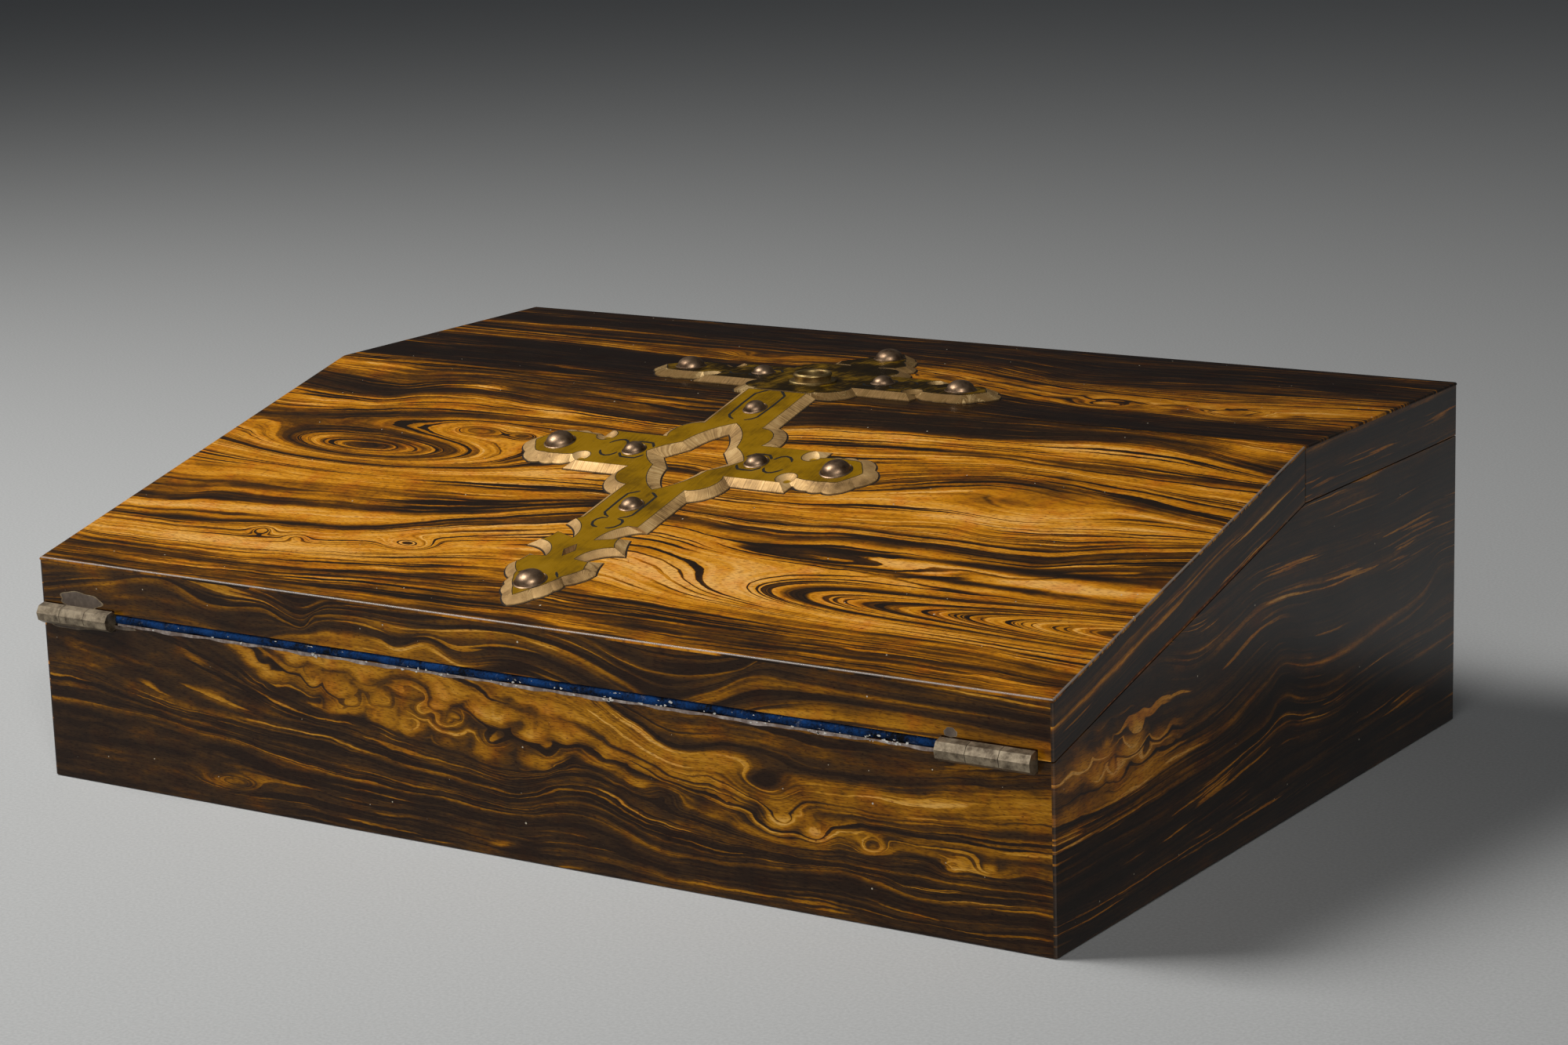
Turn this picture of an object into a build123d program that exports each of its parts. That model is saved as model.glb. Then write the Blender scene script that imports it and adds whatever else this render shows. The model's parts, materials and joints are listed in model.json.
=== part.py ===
from build123d import *

import os
from math import atan, cos, degrees, pi, radians, sin, sqrt, tan

# A writing slope: a veneered box whose front lid slopes and whose back lid is level. Millimetres,
# +X to the writer's right, +Y away from the writer, +Z up, origin on the ground below the middle.

# Outside of the box
WIDTH = 400.0
DEPTH = 286.0
HEIGHT = 121.3
FRONT_HEIGHT = 78.4
RIDGE_FROM_FRONT = 165.5
LID_THICKNESS = 18.8
BAIZE = 0.8
BAIZE_INSET = 3.0

# Timber and cloth
WALL = 8.0
BOARD = 6.0
LID_PANEL = 6.0
VENEER = 1.0
ARRIS = 0.7
SEAM = 0.4
RIDGE_SEAM = 0.4
PARTITION = 10.0
PARTITION_BEHIND = 5.5
VELVET = 1.2
VELVET_SINK = 0.3
FIT = 0.3

# Writing surface and the fold between the front hinges
FLAP = 5.0
BEARER = 6.0
WRITING_BOARD = 6.0
FOLD_DOWN = 1.2
FOLD_UP = 1.9
FOLD_SET_BACK = 0.6
FOLD_STANDS = 1.1

# Stationery compartment
INKWELL = 46.0
INKWELL_PLAY = 1.0
INKWELL_HEIGHT = 36.0
CELL_WALL = 5.0
CELL_WALL_HEIGHT = 77.0
CROSS_WALL_HEIGHT = 36.0
LEDGE = 3.0
PEN_TRAY_DEPTH = 38.0
PEN_TRAY_THICKNESS = 20.0
PEN_TRAY_LEVEL = 53.0
PEN_SCOOP_RADIUS = 16.0
PEN_SCOOP_DROP = 2.0
PEN_TRAY_END = 8.0
RACK_DIVIDER = 3.0
RACK_HEIGHTS = (79.0, 85.0, 91.0)
RACK_FRONT_GAP = 2.0

# Inkwell fittings
NECK_RADIUS = 14.0
NECK_HEIGHT = 7.0
MOUTH_RADIUS = 11.0
MOUTH_DEPTH = 34.0
GLASS_CHAMFER = 3.0
COLLAR_WALL = 2.0
COLLAR_HEIGHT = 6.2
COLLAR_FIT = 0.05
CAP_HEIGHT = 6.5
CAP_RIM = 2.0
CAP_GAP = 0.3
CAP_PIN_RADIUS = 0.8
CAP_KNUCKLE_RADIUS = 1.8
CAP_KNUCKLE = 5.0
CAP_LUG = 1.6
CAP_LUG_REACH = 3.0
KNUCKLE_GAP = 0.2
PIN_CLEARANCE = 0.06

# Hinges of both lids, and their screws
FITTINGS_SHIFT = -2.0
BACK_MOUNT_SHIFT = -0.6
HINGE_FROM_SIDE = 19.5
HINGE_LENGTH = 32.0
HINGE_OFFSET = 1.4
KNUCKLE_ACROSS = 6.6
KNUCKLE_SIDES = 8
MIDDLE_KNUCKLE = 11.0
KNUCKLE_CLEARANCE = 0.4
HINGE_PIN_RADIUS = 1.25
LEAF = 1.2
LEAF_REACH = 10.0
LEAF_START = 4.1
SCREW_SPACING = 11.0
SCREW_HEAD_RADIUS = 2.1
SCREW_RADIUS = 1.1
SCREW_LENGTH = 7.0
SCREW_FIT = 0.03

# Brass mounts: plate, bevels, arms, boss and ends
MOUNT_HEIGHT = 2.2
MOUNT_EDGE = 0.4
BAR_HALF_BASE = 15.4
BAR_HALF_TOP = 12.0
ARM_STRAIGHT = 45.3
ARM_TIP = 72.2
BOSS_ALONG_ARM = 23.8
BOSS_ALONG_STEM = 29.0
BOSS_SLOPE = 4.5
SLOPE_ARMS_FROM_RIDGE = 53.4
SLOPE_FINIAL_REACH = 107.7
BACK_ARMS_FROM_RIDGE = 26.3
BACK_FINIAL_REACH = 55.5
FINIAL_LENGTH = 55.3
FINIAL_SHIFT = 1.9
GOUGE_RADIUS = 5.2
GOUGE_DEPTH = 1.6
GOUGE_ALONG = 42.4
GOUGE_ACROSS = 8.4
PIERCING_LENGTH = 8.5
PIERCING_WIDTH = 4.4
PIERCING_FROM_TIP = 31.5

# Domed pins of the mounts
LARGE_STUD_RADIUS = 5.0
LARGE_STUD_HEIGHT = 3.6
SMALL_STUD_RADIUS = 3.7
SMALL_STUD_HEIGHT = 2.7
STUD_SHANK_RADIUS = 1.2
STUD_SHANK_LENGTH = 6.0
STUD_FIT = 0.05
LARGE_STUD_ALONG = 56.9
SMALL_STUD_ALONG = 25.2
STEM_STUD_ALONG = 38.5
FINIAL_STUD_FROM_TIP = 13.6

# Lock in the back lid
LOCK_BEHIND_RIDGE = 19.0
LOCK_X = 0.0
NOZZLE_RADIUS = 6.9
NOZZLE_BORE = 5.2
NOZZLE_STANDS = 3.4
NOZZLE_FLANGE_RADIUS = 8.4
NOZZLE_FLANGE = 0.8
NOZZLE_FIT = 0.05
NOZZLE_ROUND = 0.6
BARREL_RADIUS = 3.5
BARREL_BELOW_RIM = 3.4
KEY_SLOT_WIDTH = 1.6
KEY_SLOT_DEPTH = 5.0
BOLT_TRAVEL = 7.0
BOLT_PLATE = 2.8
BOLT_HALF_WIDTH = 12.0
BOLT_WEB = 3.2
PRONG_THICKNESS = 3.0
PRONG_WIDTH = 5.6
BOLT_TIP_GAP = 0.3
LOWER_TONGUE_GAP = 1.0
BOLT_BEHIND_BARREL = 8.5
CRANK_PIN_RADIUS = 1.5
CRANK_PIN_LENGTH = 3.6
CRANK_DISC = 2.0
CRANK_SLOT_PLAY = 0.3
LOCK_SHEET = 1.2
LOCK_BELOW_PARTING = 8.5
LOCK_GAP = 0.5
LOCK_EAR = 8.0
KEEP_PLATE = 1.0
KEEP_BORDER = 4.0
KEEP_LIP = 1.2
MORTISE_PLAY = 0.4
MORTISE_DEPTH = 7.4

# Places worked out from the sizes above
FRONT = -DEPTH / 2
BACK = DEPTH / 2
RIDGE = FRONT + RIDGE_FROM_FRONT
SLOPE = (HEIGHT - FRONT_HEIGHT) / RIDGE_FROM_FRONT
SLOPE_ANGLE = degrees(atan(SLOPE))
HALF = WIDTH / 2
SKIN_X = HALF - VENEER
INNER_X = SKIN_X - WALL
INNER_FRONT = FRONT + VENEER + WALL
INNER_BACK = BACK - VENEER - WALL
PARTING = HEIGHT - LID_THICKNESS
FLOOR = BAIZE + BOARD
PARTITION_FRONT = RIDGE + PARTITION_BEHIND - PARTITION
PARTITION_BACK = RIDGE + PARTITION_BEHIND
SLOPE_END = RIDGE - RIDGE_SEAM / 2
LEVEL_START = RIDGE + RIDGE_SEAM / 2
LID_BOTTOM = LID_THICKNESS - SEAM / 2
RAIL_TOP = VENEER + LID_PANEL
HINGE_X = HALF - HINGE_FROM_SIDE
HINGE_CENTRES = (FITTINGS_SHIFT - HINGE_X, FITTINGS_SHIFT + HINGE_X)
ON_BASE = (Align.CENTER, Align.CENTER, Align.MIN)
HINGE_POCKET_RADIUS = KNUCKLE_ACROSS / 2 / cos(pi / KNUCKLE_SIDES) + KNUCKLE_CLEARANCE


def top_z(y):
    """Height of the lids' outer faces at depth y."""
    return HEIGHT if y >= RIDGE else HEIGHT - SLOPE * (RIDGE - y)


def parting_z(y):
    """Height of the plane between case and lids at depth y."""
    return top_z(y) - LID_THICKNESS


def prism_x(points, low, high):
    """Solid from x = low to x = high whose outline is the list of (y, z) points."""
    outline = make_face(Polyline(*points, close=True))
    return Plane(origin=(low, 0, 0), x_dir=(0, 1, 0), z_dir=(1, 0, 0)) * extrude(outline, amount=high - low)


def block(low, high):
    """Box between two corners."""
    size = [b - a for a, b in zip(low, high)]
    return Pos(*low) * Box(*size, align=(Align.MIN, Align.MIN, Align.MIN))


def sloped(low_y, high_y, above, below, low_x, high_x):
    """Layer of the slope lid between two depths below its outer face, measured upright."""
    points = [
        (low_y, top_z(low_y) - below),
        (high_y, top_z(high_y) - below),
        (high_y, top_z(high_y) - above),
        (low_y, top_z(low_y) - above),
    ]
    return prism_x(points, low_x, high_x)


def under_parting(low_y, high_y, low_z, drop, low_x, high_x):
    """Upright board from low_z up to a given drop below the parting, following its slope and ridge."""
    points = [(low_y, low_z), (high_y, low_z), (high_y, parting_z(high_y) - drop)]
    if low_y < RIDGE < high_y:
        points.append((RIDGE, PARTING - drop))
    points.append((low_y, parting_z(low_y) - drop))
    return prism_x(points, low_x, high_x)


def rounded(solid, radius, keep):
    """Fillets the edges whose middle point passes the test."""
    return fillet(solid.edges().filter_by(lambda edge: keep(edge.center())), radius)


def at(value, target):
    """True where two lengths are the same for the purpose of picking an edge."""
    return abs(value - target) < 0.01


# Hinges: a frame at each pin, x along the pin, y into the box, z out of the case


def hinge_frame(x, rear):
    """Location of a hinge whose pin lies just outside the front or rear face, on the parting plane."""
    if rear:
        return Location((x, BACK + HINGE_OFFSET, PARTING), (0, 0, 180))
    drop = HINGE_OFFSET * SLOPE
    return Location((x, FRONT - HINGE_OFFSET, parting_z(FRONT) - drop), (SLOPE_ANGLE, 0, 0))


def rod_x(radius, low, high):
    """Round bar along the pin's line."""
    return Pos((low + high) / 2, 0, 0) * (Rot(0, 90, 0) * Cylinder(radius, high - low))


def knuckle(low, high):
    """Faceted knuckle along the pin's line."""
    profile = RegularPolygon(KNUCKLE_ACROSS / 2, KNUCKLE_SIDES, major_radius=False, rotation=22.5)
    return Plane(origin=(low, 0, 0), x_dir=(0, 1, 0), z_dir=(1, 0, 0)) * extrude(profile, amount=high - low)


def screw_places():
    """Screw centres on one leaf, in the hinge's frame."""
    middle = (LEAF_START + LEAF_REACH) / 2
    return [(offset, middle) for offset in (-SCREW_SPACING, 0, SCREW_SPACING)]


def screw(grown=0.0):
    """Countersunk screw standing on z = 0, pointing up, with its head's face at the bottom."""
    head = Cone(
        SCREW_HEAD_RADIUS + grown,
        SCREW_RADIUS + grown,
        LEAF,
        align=ON_BASE,
    )
    shank = Cylinder(
        SCREW_RADIUS + grown,
        SCREW_LENGTH,
        align=ON_BASE,
    )
    return head + shank


def hinge_leaf(side):
    """One leaf with its knuckles. side is 1 for the lid's leaf, -1 for the case's."""
    half = HINGE_LENGTH / 2
    middle = MIDDLE_KNUCKLE / 2
    inner = middle + KNUCKLE_GAP
    spans = [(-middle, middle)] if side < 0 else [(-half, -inner), (inner, half)]
    near, far = side * SEAM / 4, side * (SEAM / 4 + LEAF)
    low, high = min(near, far), max(near, far)
    leaf = block((-half, LEAF_START, low), (half, LEAF_REACH, high))
    for start, end in spans:
        leaf += knuckle(start, end)
        leaf += block((start, 0, low), (end, LEAF_START, high))
    bore = HINGE_PIN_RADIUS + (PIN_CLEARANCE if side > 0 else PIN_CLEARANCE / 3)
    leaf -= rod_x(bore, -half - 1, half + 1)
    for x, y in screw_places():
        leaf -= hinge_screw(x, y, side, SCREW_FIT)
    return leaf


def hinge_screw(x, y, side, grown=0.0):
    """A screw of one leaf, its head flush with the leaf's face at the seam."""
    near = SEAM / 4
    placed = Pos(x, y, near) * screw(grown)
    return placed if side > 0 else Rot(180, 0, 0) * (Pos(x, -y, near) * screw(grown))


def hinge_pocket():
    """Room that a hinge needs in the timber of case and lid."""
    half = HINGE_LENGTH / 2 + 0.2
    room = rod_x(HINGE_POCKET_RADIUS, -half, half)
    sink = SEAM / 4 + LEAF
    room += block((-half, 0, -sink), (half, LEAF_REACH, sink))
    return room


def hinge_cutters(rear):
    """Pockets and screw holes of one pair of hinges, in the box's frame."""
    cutters = []
    for x in HINGE_CENTRES:
        place = hinge_frame(x, rear)
        cutters.append(place * hinge_pocket())
        for side in (-1, 1):
            for across, deep in screw_places():
                cutters.append(place * hinge_screw(across, deep, side, SCREW_FIT))
    return cutters


def hinge_set(side, rear):
    """Both leaves of one side, and their screws, for the front or the rear pair."""
    leaves, screws = [], []
    for x in HINGE_CENTRES:
        place = hinge_frame(x, rear)
        leaves.append(place * hinge_leaf(side))
        screws += [place * hinge_screw(across, deep, side) for across, deep in screw_places()]
    return leaves, screws


def cut(solid, cutters):
    """Takes away only the cutters that reach the solid."""
    box = solid.bounding_box()
    for cutter in cutters:
        other = cutter.bounding_box()
        if all(tuple(box.min)[i] < tuple(other.max)[i] for i in range(3)) and all(
            tuple(other.min)[i] < tuple(box.max)[i] for i in range(3)
        ):
            solid = solid - cutter
    return solid


# Brass mounts, drawn flat: x across, y from the middle of the arms towards the finial


def sides_of(points, z=0.0):
    """Edges of a closed run of (x, y, bulge) points. bulge bends the side that starts there."""
    sides = []
    for start, end in zip(points, points[1:] + points[:1]):
        a, b = Vector(start[0], start[1], z), Vector(end[0], end[1], z)
        if start[2] == 0:
            sides.append(Edge.make_line(a, b))
        else:
            along = b - a
            middle = (a + b) * 0.5 + Vector(along.Y, -along.X) * start[2]
            sides.append(Edge.make_three_point_arc(a, middle, b))
    return sides


def outline(points, z=0.0):
    """Face inside a closed run of points."""
    return Face(Wire(sides_of(points, z)))


def flared(low, low_z, high, high_z):
    """Solid between two outlines of as many sides, each pair of sides joined by a ruled face."""
    pairs = zip(sides_of(low, low_z), sides_of(high, high_z))
    faces = [Face.make_surface_from_curves(a, b) for a, b in pairs]
    return Solid(Shell(faces + [outline(low, low_z), outline(high, high_z)]))


def mirrored(half):
    """Closed run of points from a right-hand half that runs from one end to the point on the axis."""
    left = [(-x, y) for x, y, _ in reversed(half)]
    bends = [bulge for _, _, bulge in reversed(half[:-1])] + [0]
    tip_shared = half[-1][0] == 0
    left = left[1:] if tip_shared else left
    bends = bends if not tip_shared else bends
    if tip_shared:
        first = half[:-1] + [(half[-1][0], half[-1][1], bends[0])]
        rest = [(x, y, bulge) for (x, y), bulge in zip(left, bends[1:])]
        return first + rest
    first = half[:-1] + [(half[-1][0], half[-1][1], 0)]
    rest = [(x, y, bulge) for (x, y), bulge in zip(left, bends)]
    return first + rest


def bevelled(base, top):
    """Plate with a thin upright edge on the base outline and bevels up to the top outline."""
    rim = extrude(outline(base), amount=MOUNT_EDGE, dir=(0, 0, 1))
    return rim + flared(base, MOUNT_EDGE, top, MOUNT_HEIGHT)


def bar(start, end, end_slope=0.0):
    """Bevelled bar along y, from start to end. end_slope sets its ends back at the top."""

    def ring(half, cut_back):
        low, high = start + cut_back, end - cut_back
        return [(half, low, 0), (half, high, 0), (-half, high, 0), (-half, low, 0)]

    return bevelled(ring(BAR_HALF_BASE, 0), ring(BAR_HALF_TOP, end_slope))


def arm_end():
    """Shell-shaped end of an arm, pointing along +y: lobes on the outline, flutes up to the plate."""
    start = ARM_STRAIGHT - 6.0
    base = [
        (10.4, start, 0),
        (10.4, ARM_STRAIGHT + 0.8, 0.14),
        (12.2, ARM_STRAIGHT + 6.9, 0.18),
        (12.0, ARM_STRAIGHT + 12.7, 0.18),
        (11.9, ARM_STRAIGHT + 18.1, 0.12),
        (6.4, ARM_STRAIGHT + 22.5, 0.12),
        (0, ARM_TIP, 0),
    ]
    top = [
        (7.8, start, 0),
        (7.8, ARM_STRAIGHT + 1.4, 0),
        (8.5, ARM_STRAIGHT + 6.9, 0),
        (8.3, ARM_STRAIGHT + 12.5, 0),
        (7.8, ARM_STRAIGHT + 16.6, 0),
        (3.8, ARM_STRAIGHT + 19.6, 0),
        (0, ARM_TIP - 5.0, 0),
    ]
    bends = [point[2] for point in base]
    top = [(x, y, bend / 3) for (x, y, _), bend in zip(top, bends)]
    return bevelled(mirrored(base), mirrored(top))


def finial(tip):
    """Two pairs of scooped leaves and a shell-shaped finial whose point is at y = tip."""
    base = [
        (BAR_HALF_BASE, FINIAL_LENGTH + 3.0, 0),
        (BAR_HALF_BASE, FINIAL_LENGTH, -0.12),
        (5.9, 44.9, 0),
        (14.5, 49.4, -0.05),
        (19.8, 38.8, -0.15),
        (7.2, 31.4, 0),
        (14.7, 33.3, -0.05),
        (17.4, 25.2, 0.12),
        (11.0, 16.4, 0.2),
        (9.8, 12.4, 0.14),
        (6.2, 6.2, 0.1),
        (0, 0, 0),
    ]
    top = [
        (BAR_HALF_TOP, FINIAL_LENGTH + 3.0, 0),
        (BAR_HALF_TOP, FINIAL_LENGTH + 1.1, -0.15),
        (4.3, 43.8, 0),
        (12.4, 46.6, -0.1),
        (15.0, 40.4, -0.19),
        (5.7, 30.4, 0),
        (12.0, 29.4, -0.05),
        (13.6, 24.6, 0.06),
        (9.0, 18.4, 0.08),
        (7.3, 14.2, 0.05),
        (3.8, 9.0, 0.03),
        (0, 3.6, 0),
    ]

    def placed(half_run):
        run = mirrored([(x, tip - y, bulge) for x, y, bulge in half_run])
        joint = tip - FINIAL_LENGTH - 1.2
        return [(x if y < joint else x + FINIAL_SHIFT, y, bulge) for x, y, bulge in run]

    return bevelled(placed(base), placed(top))


def boss():
    """Round lobes in the four corners between the arms and the stem."""

    def ring(along_arm, along_stem, half, bend):
        a, b, c, d = along_arm, half, half, along_stem
        right = [(a, b, bend), (c, d, 0)]
        left = [(-c, d, bend), (-a, b, 0), (-a, -b, bend), (-c, -d, 0)]
        return right + left + [(c, -d, bend), (a, -b, 0)]

    low = ring(BOSS_ALONG_ARM, BOSS_ALONG_STEM, BAR_HALF_BASE - 0.6, 0.2)
    high = ring(BOSS_ALONG_ARM - BOSS_SLOPE, BOSS_ALONG_STEM - BOSS_SLOPE, BAR_HALF_TOP - 0.6, 0.3)
    return bevelled(low, high)


def window():
    """Cutter of the pierced quatrefoil: small at the lid, wide at the plate's face."""

    def ring(north, valley, east, lobe, cusp):
        quadrant = [(0, north, lobe), (valley[0], valley[1], cusp), (east, 0, 0)]
        right = quadrant[:2] + [(east, 0, cusp), (valley[0], -valley[1], lobe), (0, -north, lobe)]
        left = [(-valley[0], -valley[1], cusp), (-east, 0, cusp), (-valley[0], valley[1], lobe)]
        points = right + left
        return [(x, y, -bulge) for x, y, bulge in points]

    low = ring(21.2, (7.0, 7.4), 13.4, 0.08, 0)
    high = ring(26.3, (11.2, 9.1), 20.0, 0.1, 0.06)
    below = extrude(outline(low, -1), amount=1 + MOUNT_EDGE, dir=(0, 0, 1))
    above = extrude(outline(high, MOUNT_HEIGHT), amount=1, dir=(0, 0, 1))
    return below + flared(low, MOUNT_EDGE, high, MOUNT_HEIGHT) + above


def mount(stem_start, finial_reach):
    """Cross of two arms, a stem and a finial, all with bevelled edges."""
    arms = bar(-ARM_STRAIGHT, ARM_STRAIGHT, BAR_HALF_BASE - BAR_HALF_TOP)
    arms += arm_end() + Rot(0, 0, 180) * arm_end()
    plate = Rot(0, 0, 90) * arms
    plate += bar(stem_start - 3.0, finial_reach - FINIAL_LENGTH)
    plate += boss() + finial(finial_reach)
    plate -= block((-HALF, stem_start - DEPTH, -1), (HALF, stem_start, MOUNT_HEIGHT + 1))
    for across in (-1, 1):
        for along in (-1, 1):
            centre = (across * GOUGE_ALONG, along * GOUGE_ACROSS, MOUNT_HEIGHT - GOUGE_DEPTH + GOUGE_RADIUS)
            plate -= Pos(*centre) * Sphere(GOUGE_RADIUS)
    return plate


def piercing(finial_reach):
    """Cutter of the small lozenge above the finial."""
    corners = [
        (0, PIERCING_LENGTH / 2),
        (PIERCING_WIDTH / 2, 0),
        (0, -PIERCING_LENGTH / 2),
        (-PIERCING_WIDTH / 2, 0),
    ]
    lozenge = extrude(make_face(Polyline(*corners, close=True)), amount=MOUNT_HEIGHT + 2)
    return Pos(FINIAL_SHIFT, finial_reach - PIERCING_FROM_TIP - PIERCING_LENGTH / 2, -1) * lozenge


def stud(radius, height, grown=0.0):
    """Domed pin: the dome stands on z = 0 and the shank runs down from it."""
    curve = (radius * radius + height * height) / (2 * height)
    dome = Pos(0, 0, height - curve) * Sphere(curve)
    dome &= Cylinder(radius, height, align=ON_BASE)
    shank = Cylinder(
        STUD_SHANK_RADIUS + grown,
        STUD_SHANK_LENGTH,
        align=(Align.CENTER, Align.CENTER, Align.MAX),
    )
    return dome + shank


def shank_hole():
    """Cutter of one pin's hole through mount, veneer and panel."""
    return Cylinder(
        STUD_SHANK_RADIUS + STUD_FIT,
        2 * STUD_SHANK_LENGTH,
        align=(Align.CENTER, Align.CENTER, Align.CENTER),
    )


def stud_places(finial_reach, stem_studs):
    """(x, y, radius, height) of each domed pin, on the mount's own drawing."""
    large = [(-LARGE_STUD_ALONG, 0), (LARGE_STUD_ALONG, 0)]
    large.append((FINIAL_SHIFT, finial_reach - FINIAL_STUD_FROM_TIP))
    small = [(-SMALL_STUD_ALONG, 0), (SMALL_STUD_ALONG, 0)]
    small += [(0, along) for along in stem_studs]
    places = [(x, y, LARGE_STUD_RADIUS, LARGE_STUD_HEIGHT) for x, y in large]
    return places + [(x, y, SMALL_STUD_RADIUS, SMALL_STUD_HEIGHT) for x, y in small]


def slope_frame():
    """Location on the slope lid's face at the middle of the arms, its y running down the slope."""
    run = SLOPE_ARMS_FROM_RIDGE * cos(radians(SLOPE_ANGLE))
    y = RIDGE - run
    normal = (0, -sin(radians(SLOPE_ANGLE)), cos(radians(SLOPE_ANGLE)))
    return Plane(origin=(FITTINGS_SHIFT, y, top_z(y)), x_dir=(-1, 0, 0), z_dir=normal)


def back_frame():
    """Location on the back lid's face at the middle of the arms, its y running backwards."""
    middle = (BACK_MOUNT_SHIFT, RIDGE + BACK_ARMS_FROM_RIDGE, HEIGHT)
    return Plane(origin=middle, x_dir=(1, 0, 0), z_dir=(0, 0, 1))


# Lock: the barrel's crank pin slides in the bolt's cross slot and throws it forwards

LOCK_Y = RIDGE + LOCK_BEHIND_RIDGE
LOCK_TOP = HEIGHT - RAIL_TOP
LOCK_BOTTOM = PARTING - LOCK_BELOW_PARTING
CRANK_RADIUS = BOLT_TRAVEL / sqrt(2)
CRANK_PIN_LOW = LOCK_BOTTOM + LOCK_SHEET + 0.4
BOLT_LOW = CRANK_PIN_LOW + 0.3
BOLT_HIGH = BOLT_LOW + BOLT_PLATE
DISC_LOW = CRANK_PIN_LOW + CRANK_PIN_LENGTH
DISC_RADIUS = CRANK_RADIUS + CRANK_PIN_RADIUS + 0.7
PRONG_LOW = PARTING + 2.1
PRONG_HIGH = PRONG_LOW + PRONG_THICKNESS
UPPER_TIP = LEVEL_START + BOLT_TIP_GAP
LOWER_TIP = PARTITION_BACK + LOWER_TONGUE_GAP
LOCK_FRONT = LEVEL_START + WALL + LOCK_GAP
WEB_FRONT = LOCK_FRONT + BOLT_TRAVEL - LOCK_GAP - 1.8
BOLT_REAR = LOCK_Y + BOLT_BEHIND_BARREL
NOZZLE_TOP = HEIGHT + MOUNT_HEIGHT + NOZZLE_STANDS


def lock_block(half_width, low_y, high_y, low_z, high_z):
    """Box on the lock's centre line."""
    return block((LOCK_X - half_width, low_y, low_z), (LOCK_X + half_width, high_y, high_z))


def lock_rod(radius, low_z, high_z, x=0.0, y=0.0):
    """Upright round bar, placed from the barrel's axis."""
    rod = Cylinder(radius, high_z - low_z, align=ON_BASE)
    return Pos(LOCK_X + x, LOCK_Y + y, low_z) * rod


def make_lock_barrel():
    """Key barrel with its crank disc and crank pin."""
    top = NOZZLE_TOP - BARREL_BELOW_RIM
    barrel = lock_rod(BARREL_RADIUS, DISC_LOW, top)
    barrel += lock_rod(DISC_RADIUS, DISC_LOW, DISC_LOW + CRANK_DISC)
    throw = BOLT_TRAVEL / 2
    barrel += lock_rod(CRANK_PIN_RADIUS, CRANK_PIN_LOW, DISC_LOW, throw, throw)
    slot = lock_block(KEY_SLOT_WIDTH / 2, LOCK_Y - BARREL_RADIUS - 1, LOCK_Y, top - KEY_SLOT_DEPTH, top + 1)
    return barrel - slot


def make_lock_bolt():
    """Bolt: a lower tongue for the case, two upper prongs for the slope lid, and side webs."""
    bolt = lock_block(BOLT_HALF_WIDTH, LOWER_TIP, BOLT_REAR, BOLT_LOW, BOLT_HIGH)
    slot_y = LOCK_Y + BOLT_TRAVEL / 2
    reach = CRANK_RADIUS + CRANK_PIN_RADIUS + CRANK_SLOT_PLAY
    half_slot = CRANK_PIN_RADIUS + CRANK_SLOT_PLAY
    start = BOLT_TRAVEL / 2 - half_slot
    bolt -= block(
        (LOCK_X + start, slot_y - half_slot, BOLT_LOW - 1),
        (LOCK_X + reach, slot_y + half_slot, BOLT_HIGH + 1),
    )
    for side in (-1, 1):
        outer = LOCK_X + side * BOLT_HALF_WIDTH
        web = outer - side * BOLT_WEB
        inner = outer - side * PRONG_WIDTH
        bolt += block((min(outer, web), WEB_FRONT, BOLT_HIGH), (max(outer, web), BOLT_REAR, PRONG_HIGH))
        bolt += block((min(outer, inner), UPPER_TIP, PRONG_LOW), (max(outer, inner), BOLT_REAR, PRONG_HIGH))
    return bolt


def make_lock_case():
    """Sheet box under the lid panel, open at the front, with ears for its screws."""
    half = BOLT_HALF_WIDTH + MORTISE_PLAY + LOCK_SHEET
    rear = BOLT_REAR + MORTISE_PLAY + LOCK_SHEET
    case = lock_block(half, LOCK_FRONT, rear, LOCK_BOTTOM, LOCK_TOP)
    case -= lock_block(
        half - LOCK_SHEET, LOCK_FRONT - 1, rear - LOCK_SHEET, LOCK_BOTTOM + LOCK_SHEET, LOCK_TOP - LOCK_SHEET
    )
    case += lock_block(half + LOCK_EAR, LOCK_FRONT + 2, rear - 2, LOCK_TOP - LOCK_SHEET, LOCK_TOP)
    case += lock_rod(BARREL_RADIUS + 2, PRONG_HIGH + 1, LOCK_TOP - LOCK_SHEET / 2)
    case -= lock_rod(BARREL_RADIUS + PIN_CLEARANCE, PRONG_HIGH, LOCK_TOP + 1)
    for place in lock_screw_places():
        case -= place * lock_screw(SCREW_FIT)
    return case


def lock_screw(grown=0.0):
    """Short screw with a flat head, pointing up into the lid panel."""
    head = Cylinder(SCREW_HEAD_RADIUS, 1.0, align=(Align.CENTER, Align.CENTER, Align.MAX))
    shank = Cylinder(
        SCREW_RADIUS + grown, LID_PANEL - 1.0 + LOCK_SHEET, align=ON_BASE
    )
    return shank if grown else head + shank


def lock_screw_places():
    """Four screws in the ears, heads under the ears."""
    half = BOLT_HALF_WIDTH + MORTISE_PLAY + LOCK_SHEET + LOCK_EAR / 2
    rear = BOLT_REAR - SCREW_HEAD_RADIUS - 1
    front = LOCK_FRONT + SCREW_HEAD_RADIUS + 3
    return [Pos(LOCK_X + x, y, LOCK_TOP - LOCK_SHEET) for x in (-half, half) for y in (front, rear)]


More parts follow.
